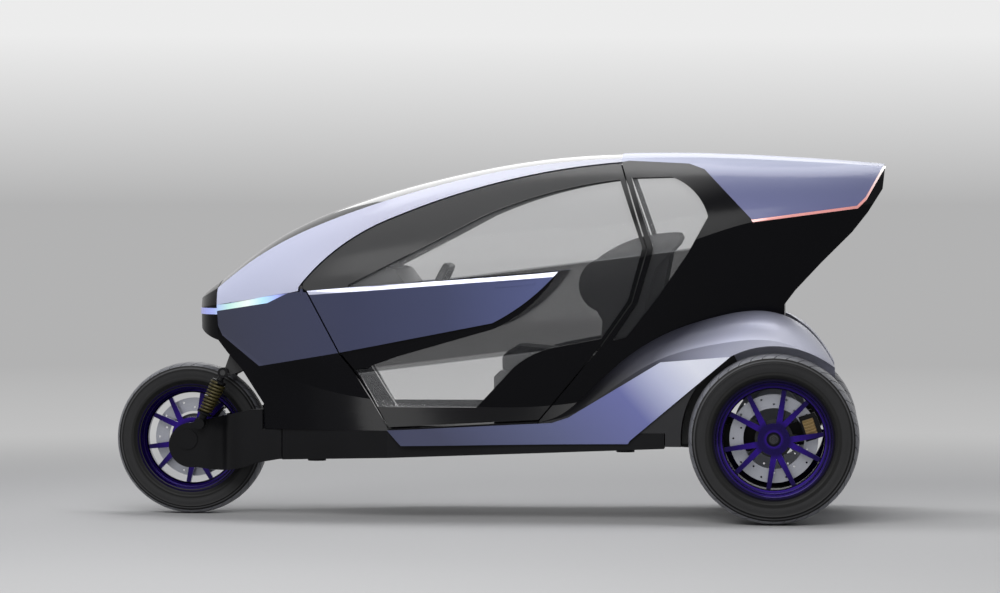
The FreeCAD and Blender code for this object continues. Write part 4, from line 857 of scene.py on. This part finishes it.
def sewChannels(mesh):
    # Seams that run up the pad press into its padding, away from its sides.
    normals = [vert.normal.copy() for vert in mesh.vertices]
    for vert, normal in zip(mesh.vertices, normals):
        near = min(abs(vert.co.y - seam) for seam in seat["channels"])
        if near < seat["channelWidth"] and abs(normal.y) < seat["sideways"]:
            vert.co -= normal * seat["channelDepth"] * (1 - (near / seat["channelWidth"]) ** 2)


def padForm(number):
    # One pad of the CAD solids, from the front, a little smaller and with rounded edges.
    form = bmesh.new()
    form.from_mesh(nodes["seat_pads"].data)
    bmesh.ops.remove_doubles(form, verts=form.verts, dist=seat["merge"])
    groups = sorted(looseParts(form), key=lambda group: min(v.co.x for f in group for v in f.verts))
    bmesh.ops.delete(form, geom=[face for face in form.faces if face not in groups[number]],
                     context="FACES")
    bmesh.ops.dissolve_limit(form, angle_limit=math.radians(seat["flat"]), verts=form.verts,
                             edges=form.edges)
    middle = sum((vert.co for vert in form.verts), Vector()) / len(form.verts)
    bmesh.ops.scale(form, vec=(seat["start"],) * 3, verts=form.verts, space=Matrix.Translation(-middle))
    bmesh.ops.bevel(form, geom=form.edges[:], offset=seat["bevel"], offset_type="OFFSET", affect="EDGES",
                    segments=seat["bevelSteps"], profile=0.5, material=-1, clamp_overlap=True)
    bmesh.ops.recalc_face_normals(form, faces=form.faces)
    return form


def buildSeatPads():
    for number, name in enumerate(seat["pads"]):
        pad = addPiece(name, meshFrom(name, padForm(number)), "seatFabric", "root",
                       smooth=60)
        remesh = pad.modifiers.new("voxels", "REMESH")
        remesh.mode, remesh.voxel_size, remesh.use_smooth_shade = "VOXEL", seat["voxel"], True
        pad.data = appliedMesh(pad)
        pad.modifiers.remove(remesh)
        swell(pad)
        sewChannels(pad.data)
        pad.data.materials.clear()
        pad.data.materials.append(materials["seatFabric"])
        finer = pad.modifiers.new("finer", "SUBSURF")
        finer.levels = finer.render_levels = 1
    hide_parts("seat_pads")


buildSeatPads()
print("seat pads done")

stage = {"radius": 40.0, "segments": 96, "paper": (0.50, 0.50, 0.505), "fleckScale": 40.0, "fleck": 0.98,
         "near": (0.56, 0.56, 0.56), "far": (0.445, 0.445, 0.447), "sky": (0.84, 0.84, 0.84),
         "skyFrom": 0.002, "skyTo": 0.044, "fadeFrom": 2.2, "fadeTo": 6.5, "glowTo": 16.0,
         "light": (0.80, 0.82, 0.86), "lightStrength": 0.25,
         "sockets": {"Roughness": 0.8, "Specular IOR Level": 0.2}}


def seenRay(tree):
    # Rays of the eye, of reflections and through glass.
    path = tree.nodes.new("ShaderNodeLightPath")
    seen = mathOn(tree, "MAXIMUM", path.outputs["Is Camera Ray"], path.outputs["Is Glossy Ray"])
    return mathOn(tree, "MAXIMUM", seen, path.outputs["Is Transmission Ray"])


def mixShaders(tree, factor, first, second):
    mix = tree.nodes.new("ShaderNodeMixShader")
    for number, socket in enumerate((factor, first, second)):
        tree.links.new(socket, mix.inputs[number])
    return mix.outputs[0]


def buildStage():
    # A round paper floor that takes the backdrop's colour further out. From below it isn't seen.
    form = bmesh.new()
    bmesh.ops.create_circle(form, cap_ends=True, segments=stage["segments"], radius=stage["radius"])
    if form.faces[:][0].normal.z < 0:
        bmesh.ops.reverse_faces(form, faces=form.faces)
    floor = bpy.data.objects.new("floor", meshFrom("floor", form))
    scene.collection.objects.link(floor)
    material, tree, shader, coords = newMaterial("floorPaper", stage["sockets"])
    flecks = noiseOn(tree, coords, stage["fleckScale"])
    tree.links.new(dimmedOn(tree, stage["paper"], flecks, stage["fleck"]), shader.inputs["Base Color"])
    away = vectorOn(tree, "LENGTH", coords)
    far = spanOn(tree, away, stage["fadeFrom"], stage["fadeTo"], smooth=True)
    glow = tree.nodes.new("ShaderNodeEmission")
    tree.links.new(rampOn(tree, spanOn(tree, away, stage["fadeFrom"], stage["glowTo"]),
                          [(0.0, stage["near"]), (1.0, stage["far"])]), glow.inputs["Color"])
    paper = mixShaders(tree, mathOn(tree, "MULTIPLY", far, seenRay(tree)), shader.outputs["BSDF"],
                       glow.outputs["Emission"])
    below = tree.nodes.new("ShaderNodeNewGeometry").outputs["Backfacing"]
    empty = tree.nodes.new("ShaderNodeBsdfTransparent").outputs["BSDF"]
    output = next(n for n in tree.nodes if n.type == "OUTPUT_MATERIAL")
    tree.links.new(mixShaders(tree, below, paper, empty), output.inputs["Surface"])
    floor.data.materials.append(material)


# Lights: place, aim, width and height, power in watts.
lights = {
    "overhead": {"place": (0.1, 0.3, 4.4), "aim": (0.0, 0.0, 0.4), "size": (4.0, 1.0), "power": 100},
    "nearSide": {"place": (-1.0, -6.0, 4.2), "aim": (0.0, 0.0, 0.8), "size": (6.0, 3.0), "power": 330},
    "farSide": {"place": (0.5, 5.0, 3.6), "aim": (0.0, 0.0, 0.9), "size": (5.0, 2.4), "power": 70},
}


def lightScene():
    world = bpy.data.worlds.new("studio")
    world.use_nodes = True
    tree = world.node_tree
    light = next(n for n in tree.nodes if n.type == "BACKGROUND")
    light.inputs["Color"].default_value = (*stage["light"], 1)
    light.inputs["Strength"].default_value = stage["lightStrength"]
    # The eye sees a pale backdrop that brightens upwards.
    coords = tree.nodes.new("ShaderNodeTexCoord").outputs["Generated"]
    rise = alongWay(tree, coords, (0, 0, 1), stage["skyFrom"], stage["skyTo"])
    backdrop = tree.nodes.new("ShaderNodeBackground")
    tree.links.new(rampOn(tree, rise, [(0.0, stage["far"]), (1.0, stage["sky"])]), backdrop.inputs["Color"])
    output = next(n for n in tree.nodes if n.type == "OUTPUT_WORLD")
    tree.links.new(mixShaders(tree, seenRay(tree), light.outputs[0], backdrop.outputs[0]),
                   output.inputs["Surface"])
    scene.world = world
    for name, setting in lights.items():
        lamp = bpy.data.lights.new(name, "AREA")
        lamp.shape = "RECTANGLE"
        lamp.size, lamp.size_y = setting["size"]
        lamp.energy = setting["power"]
        lampObject = bpy.data.objects.new(name, lamp)
        lampObject.location = setting["place"]
        way = Vector(setting["aim"]) - Vector(setting["place"])
        lampObject.rotation_euler = way.to_track_quat("-Z", "Y").to_euler()
        scene.collection.objects.link(lampObject)


view = {"distance": 16.0, "yaw": 4.5, "elevation": 1.2, "target": (0.006, 0.0, 0.872), "lens": 144.0,
        "clipEnd": 200.0}


def placeCamera():
    camera = bpy.data.cameras.new("camera")
    camera.lens = view["lens"]
    camera.clip_end = view["clipEnd"]
    cameraObject = bpy.data.objects.new("camera", camera)
    yaw, rise = math.radians(view["yaw"]), math.radians(view["elevation"])
    away = Vector((math.sin(yaw) * math.cos(rise), -math.cos(yaw) * math.cos(rise), math.sin(rise)))
    cameraObject.location = Vector(view["target"]) + view["distance"] * away
    cameraObject.rotation_euler = (-away).to_track_quat("-Z", "Y").to_euler()
    scene.collection.objects.link(cameraObject)
    scene.camera = cameraObject


buildStage()
lightScene()
placeCamera()
scene.view_settings.view_transform = "Standard"
print("stage, lights and camera done")
